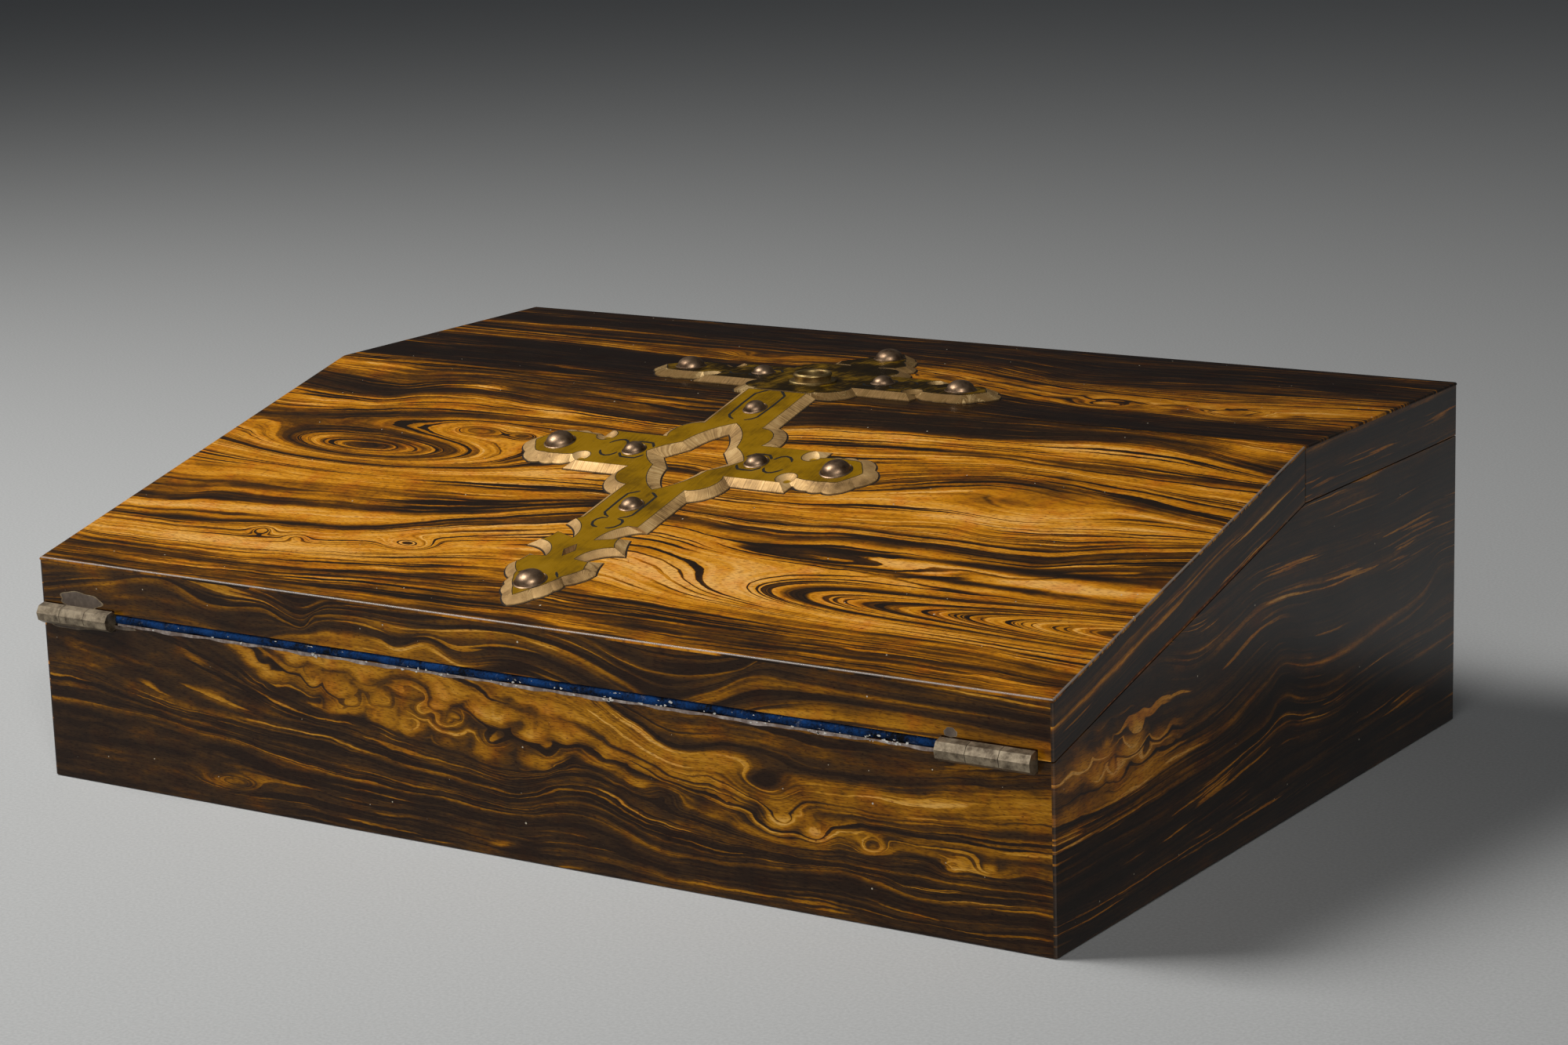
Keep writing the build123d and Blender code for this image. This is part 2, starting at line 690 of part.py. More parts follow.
def make_nozzle():
    """Ring that guards the keyhole: a tube through the lid with a flange on the mount."""
    face = HEIGHT + MOUNT_HEIGHT
    tube = lock_rod(NOZZLE_RADIUS, LOCK_TOP, NOZZLE_TOP)
    tube += lock_rod(NOZZLE_FLANGE_RADIUS, face, face + NOZZLE_FLANGE)
    tube -= lock_rod(NOZZLE_BORE, LOCK_TOP - 1, NOZZLE_TOP + 1)
    rims = tube.edges().filter_by(GeomType.CIRCLE)
    outer = rims.filter_by(lambda edge: at(edge.center().Z, NOZZLE_TOP))
    return fillet(outer, NOZZLE_ROUND)


def keep(face_y, low_z, high_z, forwards):
    """Brass plate let into a timber face, with the bolt's mortise in it."""
    half = BOLT_HALF_WIDTH + MORTISE_PLAY
    start = face_y - KEEP_PLATE if forwards else face_y
    plate = lock_block(half + KEEP_BORDER, start, start + KEEP_PLATE, low_z - KEEP_LIP, high_z + KEEP_LIP)
    return plate - lock_block(half, start - 1, start + KEEP_PLATE + 1, low_z, high_z)


UPPER_MORTISE = (PRONG_LOW - MORTISE_PLAY, PRONG_HIGH + MORTISE_PLAY)
LOWER_MORTISE = (BOLT_LOW - MORTISE_PLAY, BOLT_HIGH + MORTISE_PLAY)


def keep_recess(face_y, low_z, high_z):
    """Cutter for a keep and the mortise behind it, in a face that looks backwards."""
    half = BOLT_HALF_WIDTH + MORTISE_PLAY
    sunk = lock_block(
        half + KEEP_BORDER, face_y - KEEP_PLATE, face_y + 1, low_z - KEEP_LIP, high_z + KEEP_LIP
    )
    return sunk + lock_block(half, face_y - MORTISE_DEPTH, face_y + 1, low_z, high_z)


# Inkwells

INK_X = INNER_X - INKWELL_PLAY - INKWELL / 2
INK_Y = PARTITION_BACK + INKWELL_PLAY + INKWELL / 2
SHOULDER = FLOOR + INKWELL_HEIGHT
COLLAR_INNER = NECK_RADIUS + COLLAR_FIT
COLLAR_OUTER = COLLAR_INNER + COLLAR_WALL
COLLAR_TOP = SHOULDER + COLLAR_HEIGHT
CAP_AXIS_Y = INK_Y + COLLAR_OUTER + CAP_KNUCKLE_RADIUS
CAP_AXIS_Z = COLLAR_TOP + CAP_GAP / 2
CAP_LUG_Y = CAP_AXIS_Y - CAP_KNUCKLE_RADIUS - CAP_LUG_REACH


def make_inkwell(x):
    """Square glass bottle with chamfered shoulders and a round mouth."""
    half = INKWELL / 2
    body = block((x - half, INK_Y - half, FLOOR), (x + half, INK_Y + half, SHOULDER))
    body = chamfer(body.edges().filter_by(lambda edge: edge.center().Z > FLOOR + 0.1), GLASS_CHAMFER)
    body += Pos(x, INK_Y, SHOULDER) * Cylinder(NECK_RADIUS, NECK_HEIGHT - 1, align=ON_BASE)
    well = Cylinder(MOUTH_RADIUS, MOUTH_DEPTH, align=(Align.CENTER, Align.CENTER, Align.MAX))
    return body - Pos(x, INK_Y, SHOULDER + NECK_HEIGHT - 1) * well


def cap_rod(x, radius, low, high):
    """Round bar on a cap's hinge line, measured from the bottle's middle."""
    return Pos(x, CAP_AXIS_Y, CAP_AXIS_Z) * rod_x(radius, low, high)


def make_collar(x):
    """Ring on the bottle's neck with the two outer knuckles of the cap's hinge."""
    ring = Pos(x, INK_Y, SHOULDER) * Cylinder(COLLAR_OUTER, COLLAR_HEIGHT, align=ON_BASE)
    half = CAP_KNUCKLE / 2 + KNUCKLE_GAP
    outer = half + CAP_KNUCKLE * 0.7
    for low, high in ((-outer, -half), (half, outer)):
        ring += cap_rod(x, CAP_KNUCKLE_RADIUS, low, high)
        lug_low = CAP_AXIS_Z - CAP_KNUCKLE_RADIUS
        ring += block((x + low, CAP_LUG_Y, lug_low), (x + high, CAP_AXIS_Y, COLLAR_TOP))
    ring -= Pos(x, INK_Y, SHOULDER - 1) * Cylinder(
        COLLAR_INNER, COLLAR_HEIGHT + 2 * CAP_KNUCKLE_RADIUS, align=ON_BASE
    )
    return ring - cap_rod(x, CAP_PIN_RADIUS + PIN_CLEARANCE / 3, -outer - 1, outer + 1)


def make_cap(x):
    """Domed lid of an inkwell with the middle knuckle of its hinge."""
    base = COLLAR_TOP + CAP_GAP
    rim = Pos(x, INK_Y, base) * Cylinder(COLLAR_OUTER, CAP_RIM, align=ON_BASE)
    rise = CAP_HEIGHT - CAP_RIM
    curve = (COLLAR_OUTER**2 + rise**2) / (2 * rise)
    dome = Pos(x, INK_Y, base + CAP_HEIGHT - curve) * Sphere(curve)
    dome &= Pos(x, INK_Y, base + CAP_RIM) * Cylinder(COLLAR_OUTER, rise, align=ON_BASE)
    half = CAP_KNUCKLE / 2
    cap = rim + dome + cap_rod(x, CAP_KNUCKLE_RADIUS, -half, half)
    cap += block((x - half, CAP_LUG_Y, base), (x + half, CAP_AXIS_Y, base + CAP_LUG))
    return cap - cap_rod(x, CAP_PIN_RADIUS + PIN_CLEARANCE, -half - 1, half + 1)


# Case


def carcass(cutters):
    """Walls, veneers, bottom and partition of the case."""
    drop = SEAM / 2
    fold = fold_cutter()
    parts = {
        "base_cover": block(
            (-HALF + BAIZE_INSET, FRONT + BAIZE_INSET, 0), (HALF - BAIZE_INSET, BACK - BAIZE_INSET, BAIZE)
        ),
        "bottom_board": block((-INNER_X, INNER_FRONT, BAIZE), (INNER_X, INNER_BACK, FLOOR)),
        "case_front_wall": under_parting(FRONT + VENEER, INNER_FRONT, BAIZE, drop, -INNER_X, INNER_X) - fold,
        "case_back_wall": under_parting(INNER_BACK, BACK - VENEER, BAIZE, drop, -INNER_X, INNER_X),
        "case_left_wall": under_parting(FRONT + VENEER, BACK - VENEER, BAIZE, drop, -SKIN_X, -INNER_X),
        "case_right_wall": under_parting(FRONT + VENEER, BACK - VENEER, BAIZE, drop, INNER_X, SKIN_X),
        "case_front_veneer": under_parting(FRONT, FRONT + VENEER, BAIZE / 2, drop, -SKIN_X, SKIN_X) - fold,
        "case_back_veneer": under_parting(BACK - VENEER, BACK, BAIZE / 2, drop, -SKIN_X, SKIN_X),
    }
    for name, low, high, outer in (("left", -HALF, -SKIN_X, -HALF), ("right", SKIN_X, HALF, HALF)):
        veneer = under_parting(FRONT, BACK, BAIZE / 2, drop, low, high)

        def corner(point, outer=outer):
            return at(point.X, outer) and (at(point.Y, FRONT) or at(point.Y, BACK))

        parts[f"case_{name}_veneer"] = rounded(veneer, ARRIS, corner)
    partition = under_parting(PARTITION_FRONT, PARTITION_BACK, FLOOR, drop, -INNER_X, INNER_X)
    parts["ridge_partition"] = partition - keep_recess(PARTITION_BACK, *LOWER_MORTISE)
    parts["partition_keep"] = keep(PARTITION_BACK, *LOWER_MORTISE, forwards=True)
    return {name: cut(part, cutters) for name, part in parts.items()}


def fold_cutter():
    """Rebate between the front hinges, in case and lid, for the velvet that crosses the fold."""
    low = HINGE_CENTRES[0] + HINGE_LENGTH / 2 + 0.2
    high = HINGE_CENTRES[1] - HINGE_LENGTH / 2 - 0.2
    above = LID_THICKNESS - SEAM / 2 - FOLD_UP
    below = LID_THICKNESS + SEAM / 2 + FOLD_DOWN
    return sloped(FRONT - 1, INNER_FRONT, above, below, low, high)


def writing_surface():
    """Flap over the document well, its velvet, its bearers and the velvet in the fold."""
    velvet_top = LID_THICKNESS + SEAM / 2 + VELVET_SINK
    board_top = velvet_top + VELVET
    low_y, high_y = INNER_FRONT + FIT, PARTITION_FRONT - FIT
    half = INNER_X - FIT
    under = board_top + FLAP
    bearers = [
        sloped(INNER_FRONT, PARTITION_FRONT, under, under + BEARER, low, high)
        for low, high in ((-INNER_X, BEARER - INNER_X), (INNER_X - BEARER, INNER_X))
    ]
    fold_low = HINGE_CENTRES[0] + HINGE_LENGTH / 2 + 1
    fold_high = HINGE_CENTRES[1] - HINGE_LENGTH / 2 - 1
    fold_floor = LID_THICKNESS + SEAM / 2 + FOLD_DOWN
    fold_top = LID_THICKNESS - FOLD_STANDS
    return {
        "flap_bearers": bearers,
        "document_flap": sloped(low_y, high_y, board_top, under, -half, half),
        "document_flap_velvet": sloped(low_y, high_y, velvet_top, board_top, -half, half),
        "fold_velvet": sloped(FRONT + FOLD_SET_BACK, INNER_FRONT, fold_top, fold_floor, fold_low, fold_high),
    }


def stationery():
    """Cell walls, pen tray, rack and inkwells of the back compartment."""
    cell = INKWELL + 2 * INKWELL_PLAY
    wall_outer = INNER_X - cell
    wall_inner = wall_outer - CELL_WALL
    tray_level = FLOOR + PEN_TRAY_LEVEL
    tray_back = PARTITION_BACK + PEN_TRAY_DEPTH
    walls = []
    for side in (-1, 1):
        a, b, c = side * wall_outer, side * wall_inner, side * (wall_inner - LEDGE)
        wall = block((min(a, b), PARTITION_BACK, FLOOR), (max(a, b), INNER_BACK, FLOOR + CELL_WALL_HEIGHT))
        wall += block((min(b, c), PARTITION_BACK, FLOOR), (max(b, c), tray_back, tray_level))
        walls.append(wall)
        outer = side * INNER_X
        cross_y = PARTITION_BACK + cell
        walls.append(
            block(
                (min(a, outer), cross_y, FLOOR),
                (max(a, outer), cross_y + CELL_WALL, FLOOR + CROSS_WALL_HEIGHT),
            )
        )
    tray_half = wall_inner - FIT
    tray = block(
        (-tray_half, PARTITION_BACK + FIT, tray_level),
        (tray_half, tray_back, tray_level + PEN_TRAY_THICKNESS),
    )
    scoop_half = tray_half - PEN_TRAY_END
    scoop_z = tray_level + PEN_TRAY_THICKNESS + PEN_SCOOP_DROP
    scoop_y = (PARTITION_BACK + tray_back) / 2
    tray -= Pos(0, scoop_y, scoop_z) * rod_x(PEN_SCOOP_RADIUS, -scoop_half, scoop_half)
    first = tray_back + RACK_FRONT_GAP
    pitch = (INNER_BACK - first - RACK_DIVIDER) / len(RACK_HEIGHTS)
    rack = []
    for index, height in enumerate(RACK_HEIGHTS):
        start = first + index * pitch
        rack.append(block((-wall_inner, start, FLOOR), (wall_inner, start + RACK_DIVIDER, FLOOR + height)))
    pins = []
    for x in (-INK_X, INK_X):
        reach = CAP_KNUCKLE / 2 + KNUCKLE_GAP + CAP_KNUCKLE * 0.7
        pins.append(cap_rod(x, CAP_PIN_RADIUS, -reach, reach))
    return {
        "inkwell_cell_walls": walls,
        "pen_tray": tray,
        "rack_dividers": rack,
        "inkwell_bottles": [make_inkwell(x) for x in (-INK_X, INK_X)],
        "inkwell_collars": [make_collar(x) for x in (-INK_X, INK_X)],
        "inkwell_cap_pins": pins,
        "inkwell_cap_left": make_cap(-INK_X),
        "inkwell_cap_right": make_cap(INK_X),
    }


def hinge_parts():
    """Leaves, pins and screws of the four hinges."""
    front_case, front_case_screws = hinge_set(-1, rear=False)
    rear_case, rear_case_screws = hinge_set(-1, rear=True)
    front_lid, front_lid_screws = hinge_set(1, rear=False)
    rear_lid, rear_lid_screws = hinge_set(1, rear=True)
    half = HINGE_LENGTH / 2
    places = [hinge_frame(x, rear) for rear in (False, True) for x in HINGE_CENTRES]
    pins = [place * rod_x(HINGE_PIN_RADIUS, -half, half) for place in places]
    lock_screws = [place * lock_screw() for place in lock_screw_places()]
    return {
        "case_hinge_leaves": front_case + rear_case,
        "hinge_pins": pins,
        "case_hinge_screws": front_case_screws + rear_case_screws,
        "front_hinge_lid_leaves": front_lid,
        "slope_lid_hinge_screws": front_lid_screws,
        "rear_hinge_lid_leaves": rear_lid,
        "back_lid_screws": rear_lid_screws + lock_screws,
    }


# Lids


def slope_lid(cutters):
    """Boards, veneers, writing board and mount of the sloping lid."""
    fold = fold_cutter()
    mortise = keep_recess(SLOPE_END, *UPPER_MORTISE)
    place = slope_frame()
    places = stud_places(SLOPE_FINIAL_REACH, (-STEM_STUD_ALONG, STEM_STUD_ALONG))
    holes = [place * (Pos(x, y, 0) * shank_hole()) for x, y, _, _ in places]
    top = sloped(FRONT, SLOPE_END, 0, VENEER, -HALF, HALF)

    def arris(point):
        upper = point.Z > top_z(point.Y) - VENEER / 4
        return upper and (at(abs(point.X), HALF) or at(point.Y, FRONT))

    top = rounded(top, ARRIS, arris)
    panel = sloped(FRONT + VENEER, SLOPE_END, VENEER, RAIL_TOP, -SKIN_X, SKIN_X)
    velvet_low = LID_BOTTOM - VELVET_SINK
    board_low = velvet_low - VELVET
    board_top = board_low - WRITING_BOARD
    inner_end = SLOPE_END - WALL
    front_rail = sloped(FRONT + VENEER, INNER_FRONT, RAIL_TOP, LID_BOTTOM, -INNER_X, INNER_X)
    ridge_rail = sloped(inner_end, SLOPE_END, RAIL_TOP, LID_BOTTOM, -INNER_X, INNER_X)
    rails = [
        sloped(FRONT + VENEER, SLOPE_END, RAIL_TOP, LID_BOTTOM, low, high)
        for low, high in ((-SKIN_X, -INNER_X), (INNER_X, SKIN_X))
    ]
    plate = mount(RIDGE_SEAM / 2 - SLOPE_ARMS_FROM_RIDGE, SLOPE_FINIAL_REACH) - window()
    plate = place * (plate - piercing(SLOPE_FINIAL_REACH))
    parts = {
        "slope_lid_top_veneer": cut(top, holes),
        "slope_lid_panel": cut(panel, holes),
        "slope_lid_front_rail": front_rail - fold,
        "slope_lid_ridge_rail": ridge_rail - mortise,
        "slope_lid_front_veneer": sloped(FRONT, FRONT + VENEER, VENEER, LID_BOTTOM, -SKIN_X, SKIN_X) - fold,
        "writing_board": sloped(INNER_FRONT, inner_end, board_top, board_low, -INNER_X, INNER_X),
        "writing_board_velvet": sloped(INNER_FRONT, inner_end, board_low, velvet_low, -INNER_X, INNER_X),
        "slope_lid_keep": keep(SLOPE_END, *UPPER_MORTISE, forwards=True),
        "slope_mount": cut(plate, holes),
    }
    for name, low, high, outer in (("left", -HALF, -SKIN_X, -HALF), ("right", SKIN_X, HALF, HALF)):
        veneer = sloped(FRONT, SLOPE_END, VENEER, LID_BOTTOM, low, high)

        def corner(point, outer=outer):
            return at(point.X, outer) and at(point.Y, FRONT)

        parts[f"slope_lid_{name}_veneer"] = rounded(veneer, ARRIS, corner)
    parts = {name: cut(part, cutters) for name, part in parts.items()}
    parts["slope_lid_side_rails"] = [cut(rail, cutters) for rail in rails]
    parts["slope_mount_studs"] = [
        place * (Pos(x, y, MOUNT_HEIGHT) * stud(radius, height)) for x, y, radius, height in places
    ]
    return parts


def back_lid(cutters):
    """Boards, veneers, lining, mount and lock of the level lid."""
    place = back_frame()
    places = stud_places(BACK_FINIAL_REACH, ())
    holes = [place * (Pos(x, y, 0) * shank_hole()) for x, y, _, _ in places]
    holes.append(lock_rod(NOZZLE_RADIUS + NOZZLE_FIT, LOCK_TOP - 1, NOZZLE_TOP))
    screws = [spot * lock_screw(SCREW_FIT) for spot in lock_screw_places()]
    low_z = PARTING + SEAM / 2
    half_notch = BOLT_HALF_WIDTH + MORTISE_PLAY
    notch = lock_block(half_notch, LEVEL_START - 1, LEVEL_START + WALL + 1, low_z - 1, UPPER_MORTISE[1])
    top = block((-HALF, LEVEL_START, HEIGHT - VENEER), (HALF, BACK, HEIGHT))

    def arris(point):
        return at(point.Z, HEIGHT) and (at(abs(point.X), HALF) or at(point.Y, BACK))

    top = rounded(top, ARRIS, arris)
    panel = block((-SKIN_X, LEVEL_START, LOCK_TOP), (SKIN_X, BACK - VENEER, HEIGHT - VENEER))
    lining = block((-INNER_X, LEVEL_START + WALL, LOCK_TOP - VELVET), (INNER_X, INNER_BACK, LOCK_TOP))
    half = BOLT_HALF_WIDTH + MORTISE_PLAY + LOCK_SHEET + LOCK_EAR + FIT
    rear = BOLT_REAR + MORTISE_PLAY + LOCK_SHEET + FIT
    lining -= lock_block(half, LEVEL_START, rear, LOCK_TOP - VELVET - 1, LOCK_TOP + 1)
    rail_spans = ((-SKIN_X, -INNER_X), (INNER_X, SKIN_X))
    rails = [block((low, LEVEL_START, low_z), (high, BACK - VENEER, LOCK_TOP)) for low, high in rail_spans]
    front_rail = block((-INNER_X, LEVEL_START, low_z), (INNER_X, LEVEL_START + WALL, LOCK_TOP))
    plate = place * mount(RIDGE_SEAM / 2 - BACK_ARMS_FROM_RIDGE, BACK_FINIAL_REACH)
    parts = {
        "back_lid_top_veneer": cut(top, holes),
        "back_lid_panel": cut(cut(panel, holes), screws),
        "back_lid_lining": lining,
        "back_lid_front_rail": front_rail - notch,
        "back_lid_rear_rail": block((-INNER_X, INNER_BACK, low_z), (INNER_X, BACK - VENEER, LOCK_TOP)),
        "back_lid_rear_veneer": block((-SKIN_X, BACK - VENEER, low_z), (SKIN_X, BACK, HEIGHT - VENEER)),
        "back_mount": cut(plate, holes),
        "lock_nozzle": make_nozzle(),
        "lock_case": make_lock_case(),
    }
    for name, low, high, outer in (("left", -HALF, -SKIN_X, -HALF), ("right", SKIN_X, HALF, HALF)):
        veneer = block((low, LEVEL_START, low_z), (high, BACK, HEIGHT - VENEER))

        def corner(point, outer=outer):
            return at(point.X, outer) and at(point.Y, BACK)

        parts[f"back_lid_{name}_veneer"] = rounded(veneer, ARRIS, corner)
    parts = {name: cut(part, cutters) for name, part in parts.items()}
    parts["back_lid_side_rails"] = [cut(rail, cutters) for rail in rails]
    parts["back_mount_studs"] = [
        place * (Pos(x, y, MOUNT_HEIGHT) * stud(radius, height)) for x, y, radius, height in places
    ]
    return parts


def solids_of(shape):
    """Every solid of a shape or of a list of shapes."""
    if isinstance(shape, (list, tuple)):
        return [solid for each in shape for solid in solids_of(each)]
    return list(shape.solids())


def main():
    """Builds every piece and writes one file for each."""
    front, rear = hinge_cutters(rear=False), hinge_cutters(rear=True)
    parts = {}
    parts.update(carcass(front + rear))
    parts.update(writing_surface())
    parts.update(stationery())
    parts.update(hinge_parts())
    parts.update(slope_lid(front))
    parts.update(back_lid(rear))
    parts["lock_barrel"] = make_lock_barrel()
    parts["lock_bolt"] = make_lock_bolt()
    os.makedirs("parts", exist_ok=True)
    for name, shape in parts.items():
        solids = solids_of(shape)
        piece = solids[0] if len(solids) == 1 else Compound(children=solids)
        piece.label = name
        export_step(piece, f"parts/{name}.step")
    print(len(parts), "pieces; throw", BOLT_TRAVEL, "in a quarter turn of the barrel")
    print("front hinge pin at", FRONT - HINGE_OFFSET, parting_z(FRONT) - HINGE_OFFSET * SLOPE)
    print("rear hinge pin at", BACK + HINGE_OFFSET, PARTING)
    print("inkwell cap pins at", INK_X, CAP_AXIS_Y, CAP_AXIS_Z, "lock barrel at", LOCK_X, LOCK_Y)


main()
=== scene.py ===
"""Looks of a veneered writing slope: coromandel veneer, brass strap mounts, blue velvet.

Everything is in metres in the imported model's frame: +X to the writer's right, +Y away from the
writer, +Z up, with the origin on the table below the middle of the box.
"""

from __future__ import annotations

import json
import logging
import math
from collections.abc import Iterable, Sequence
from dataclasses import dataclass, replace
from enum import Enum

import bmesh
import bpy
import numpy as np
from mathutils import Matrix, Vector

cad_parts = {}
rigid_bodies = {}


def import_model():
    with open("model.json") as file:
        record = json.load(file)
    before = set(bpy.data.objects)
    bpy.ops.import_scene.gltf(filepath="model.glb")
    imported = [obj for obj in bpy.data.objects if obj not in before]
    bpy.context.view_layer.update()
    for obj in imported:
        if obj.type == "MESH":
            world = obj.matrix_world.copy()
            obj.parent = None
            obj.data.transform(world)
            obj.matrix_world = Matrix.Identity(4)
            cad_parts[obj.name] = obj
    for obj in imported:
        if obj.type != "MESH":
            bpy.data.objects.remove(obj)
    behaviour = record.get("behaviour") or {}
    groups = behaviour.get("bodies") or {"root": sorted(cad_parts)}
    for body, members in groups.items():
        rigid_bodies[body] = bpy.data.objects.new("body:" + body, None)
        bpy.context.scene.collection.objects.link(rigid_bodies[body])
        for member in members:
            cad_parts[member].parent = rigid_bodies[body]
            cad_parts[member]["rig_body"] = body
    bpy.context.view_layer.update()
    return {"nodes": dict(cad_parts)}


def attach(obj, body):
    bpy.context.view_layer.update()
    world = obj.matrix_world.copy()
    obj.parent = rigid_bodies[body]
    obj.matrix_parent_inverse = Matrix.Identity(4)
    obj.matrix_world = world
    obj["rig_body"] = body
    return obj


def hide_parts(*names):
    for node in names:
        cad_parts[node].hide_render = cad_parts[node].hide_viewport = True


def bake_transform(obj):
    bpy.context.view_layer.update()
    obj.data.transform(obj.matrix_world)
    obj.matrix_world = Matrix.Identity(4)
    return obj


LOG = logging.getLogger("writing_slope")
MM = 0.001

Triple = tuple[float, float, float]
Pair = tuple[float, float]
Tree = bpy.types.NodeTree
Socket = bpy.types.NodeSocket
Material = bpy.types.Material
Piece = bpy.types.Object

LENGTHWISE = (1.0, 0.0, 0.0)
DEPTHWISE = (0.0, 1.0, 0.0)
UPWARDS = (0.0, 0.0, 1.0)

# The numbers of a colour Mix node's two inputs and of its output.
UNDER, OVER, MIXED = 6, 7, 2


@dataclass(frozen=True)
class BoxSizes:
    """Sizes of the box that the dressing lines up with, in millimetres, as the model has them."""

    half_width: float = 200.0
    front: float = -143.0
    ridge: float = 22.5
    height: float = 121.3
    front_height: float = 78.4
    lid: float = 18.8
    shift: float = -2.0
    mount: float = 2.2

    @property
    def rise(self) -> float:
        """Rise of the slope for each millimetre of depth."""
        return (self.height - self.front_height) / (self.ridge - self.front)

    @property
    def angle(self) -> float:
        """Angle of the slope, in radians."""
        return math.atan(self.rise)

    @property
    def parting(self) -> float:
        """Height of the line between case and slope lid, at the front."""
        return self.front_height - self.lid


SIZES = BoxSizes()


# Node building


def linear(colour: str) -> tuple[float, float, float, float]:
    """Turns an sRGB hex colour into the linear values that Blender's sockets take.

    Args:
        colour: A colour such as "#8f5c16".

    Returns:
        Red, green, blue and an alpha of 1.
    """
    values = np.array([int(colour[i : i + 2], 16) for i in (1, 3, 5)]) / 255
    shares = np.where(values <= 0.04045, values / 12.92, ((values + 0.055) / 1.055) ** 2.4)
    return (float(shares[0]), float(shares[1]), float(shares[2]), 1.0)


def add(
    tree: Tree, kind: str, inputs: dict[int | str, object] | Sequence[object] = (), output: int | str = 0,
    **settings: object,
) -> Socket:
    """Adds one node with its inputs and settings.

    Args:
        tree: The material's or world's node tree.
        kind: The node's type without its first part, such as "Math" for "ShaderNodeMath".
        inputs: Values or other nodes' sockets, in order, or by number or name.
        output: Which output to return.
        **settings: Properties of the node. "stops" are a colour ramp's (position, colour) pairs,
            and "points" are a float curve's (position, height) pairs.

    Returns:
        The chosen output socket.
    """
    node = tree.nodes.new(f"ShaderNode{kind}")
    for name, value in settings.items():
        if name == "points":
            curve = node.mapping.curves[0].points
            curve[0].location, curve[1].location = value[0], value[-1]
            for point in value[1:-1]:
                curve.new(*point)
            for point in curve:
                point.handle_type = "AUTO_CLAMPED"
            node.mapping.update()
        elif name == "stops":
            elements = node.color_ramp.elements
            while len(elements) < len(value):
                elements.new(1.0)
            for element, (position, colour) in zip(elements, value):
                element.position = position
                element.color = linear(colour) if isinstance(colour, str) else (*(colour,) * 3, 1.0)
        else:
            setattr(node, name, value)
    for name, value in inputs.items() if isinstance(inputs, dict) else enumerate(inputs):
        if isinstance(value, Socket):
            tree.links.new(value, node.inputs[name])
        else:
            node.inputs[name].default_value = value
    return node.outputs[output] if len(node.outputs) else None


def surface(tree: Tree, **inputs: object) -> None:
    """Ends a material's tree with a Principled surface. Input names have _ for their spaces."""
    named = {name.replace("_", " "): value for name, value in inputs.items()}
    add(tree, "OutputMaterial", {"Surface": add(tree, "BsdfPrincipled", named)})


def swayed(tree: Tree, base: Socket, noise: Socket, gain: float) -> Socket:
    """Moves a value up and down by noise: the value, plus the gain times the noise less a half."""
    lift = add(tree, "Math", (noise, gain, base), operation="MULTIPLY_ADD")
    return add(tree, "Math", (lift, gain / 2), operation="SUBTRACT")


# Veneer


@dataclass(frozen=True)
class Swell:
    """An oval hill over a face, in millimetres: where its middle is, how far it spreads, how high.

    spread pushes grain lines apart round the middle, from 0, not at all, to 1, wide open.
    """

    along: float
    across: float
    length: float
    breadth: float
    amount: float
    turn: float = 0.0
    spread: float = 0.0


def drawn_out(
    tree: Tree, vector: Socket, scale: Triple, shift: Triple = (0.0, 0.0, 0.0), **noise: float
) -> Socket:
    """Noise of a vector scaled and shifted along each axis; noise has its other inputs."""
    drawn = add(tree, "Mapping", {"Vector": vector, "Location": shift, "Scale": scale})
    return add(tree, "TexNoise", {"Vector": drawn, "Scale": 1.0, **noise})


def hills(tree: Tree, place: Socket, swells: Sequence[Swell], base: Socket | float) -> Socket | float:
    """Adds hills to a field: each is amount times e to the minus squared distance from its middle.

    Where a hill has a spread, the amount shrinks with the distance across the grain.
    """
    total = base
    for swell in swells:
        inputs = {
            "Vector": place, "Location": (swell.along, swell.across, 0.0),
            "Rotation": (0.0, 0.0, math.radians(swell.turn)), "Scale": (swell.length, swell.breadth, 1.0),
        }
        near = add(tree, "Mapping", inputs, vector_type="TEXTURE")
        squared = add(tree, "VectorMath", (near, near), "Value", operation="DOT_PRODUCT")
        hill = add(tree, "Math", (math.exp(-1), squared), operation="POWER")
        amount = swell.amount
        if swell.spread:
            side = add(tree, "SeparateXYZ", (near,), "Y")
            push = -swell.spread * swell.breadth
            amount = add(tree, "Math", (side, push, swell.amount), operation="MULTIPLY_ADD")
        total = add(tree, "Math", (hill, amount, total), operation="MULTIPLY_ADD")
    return total


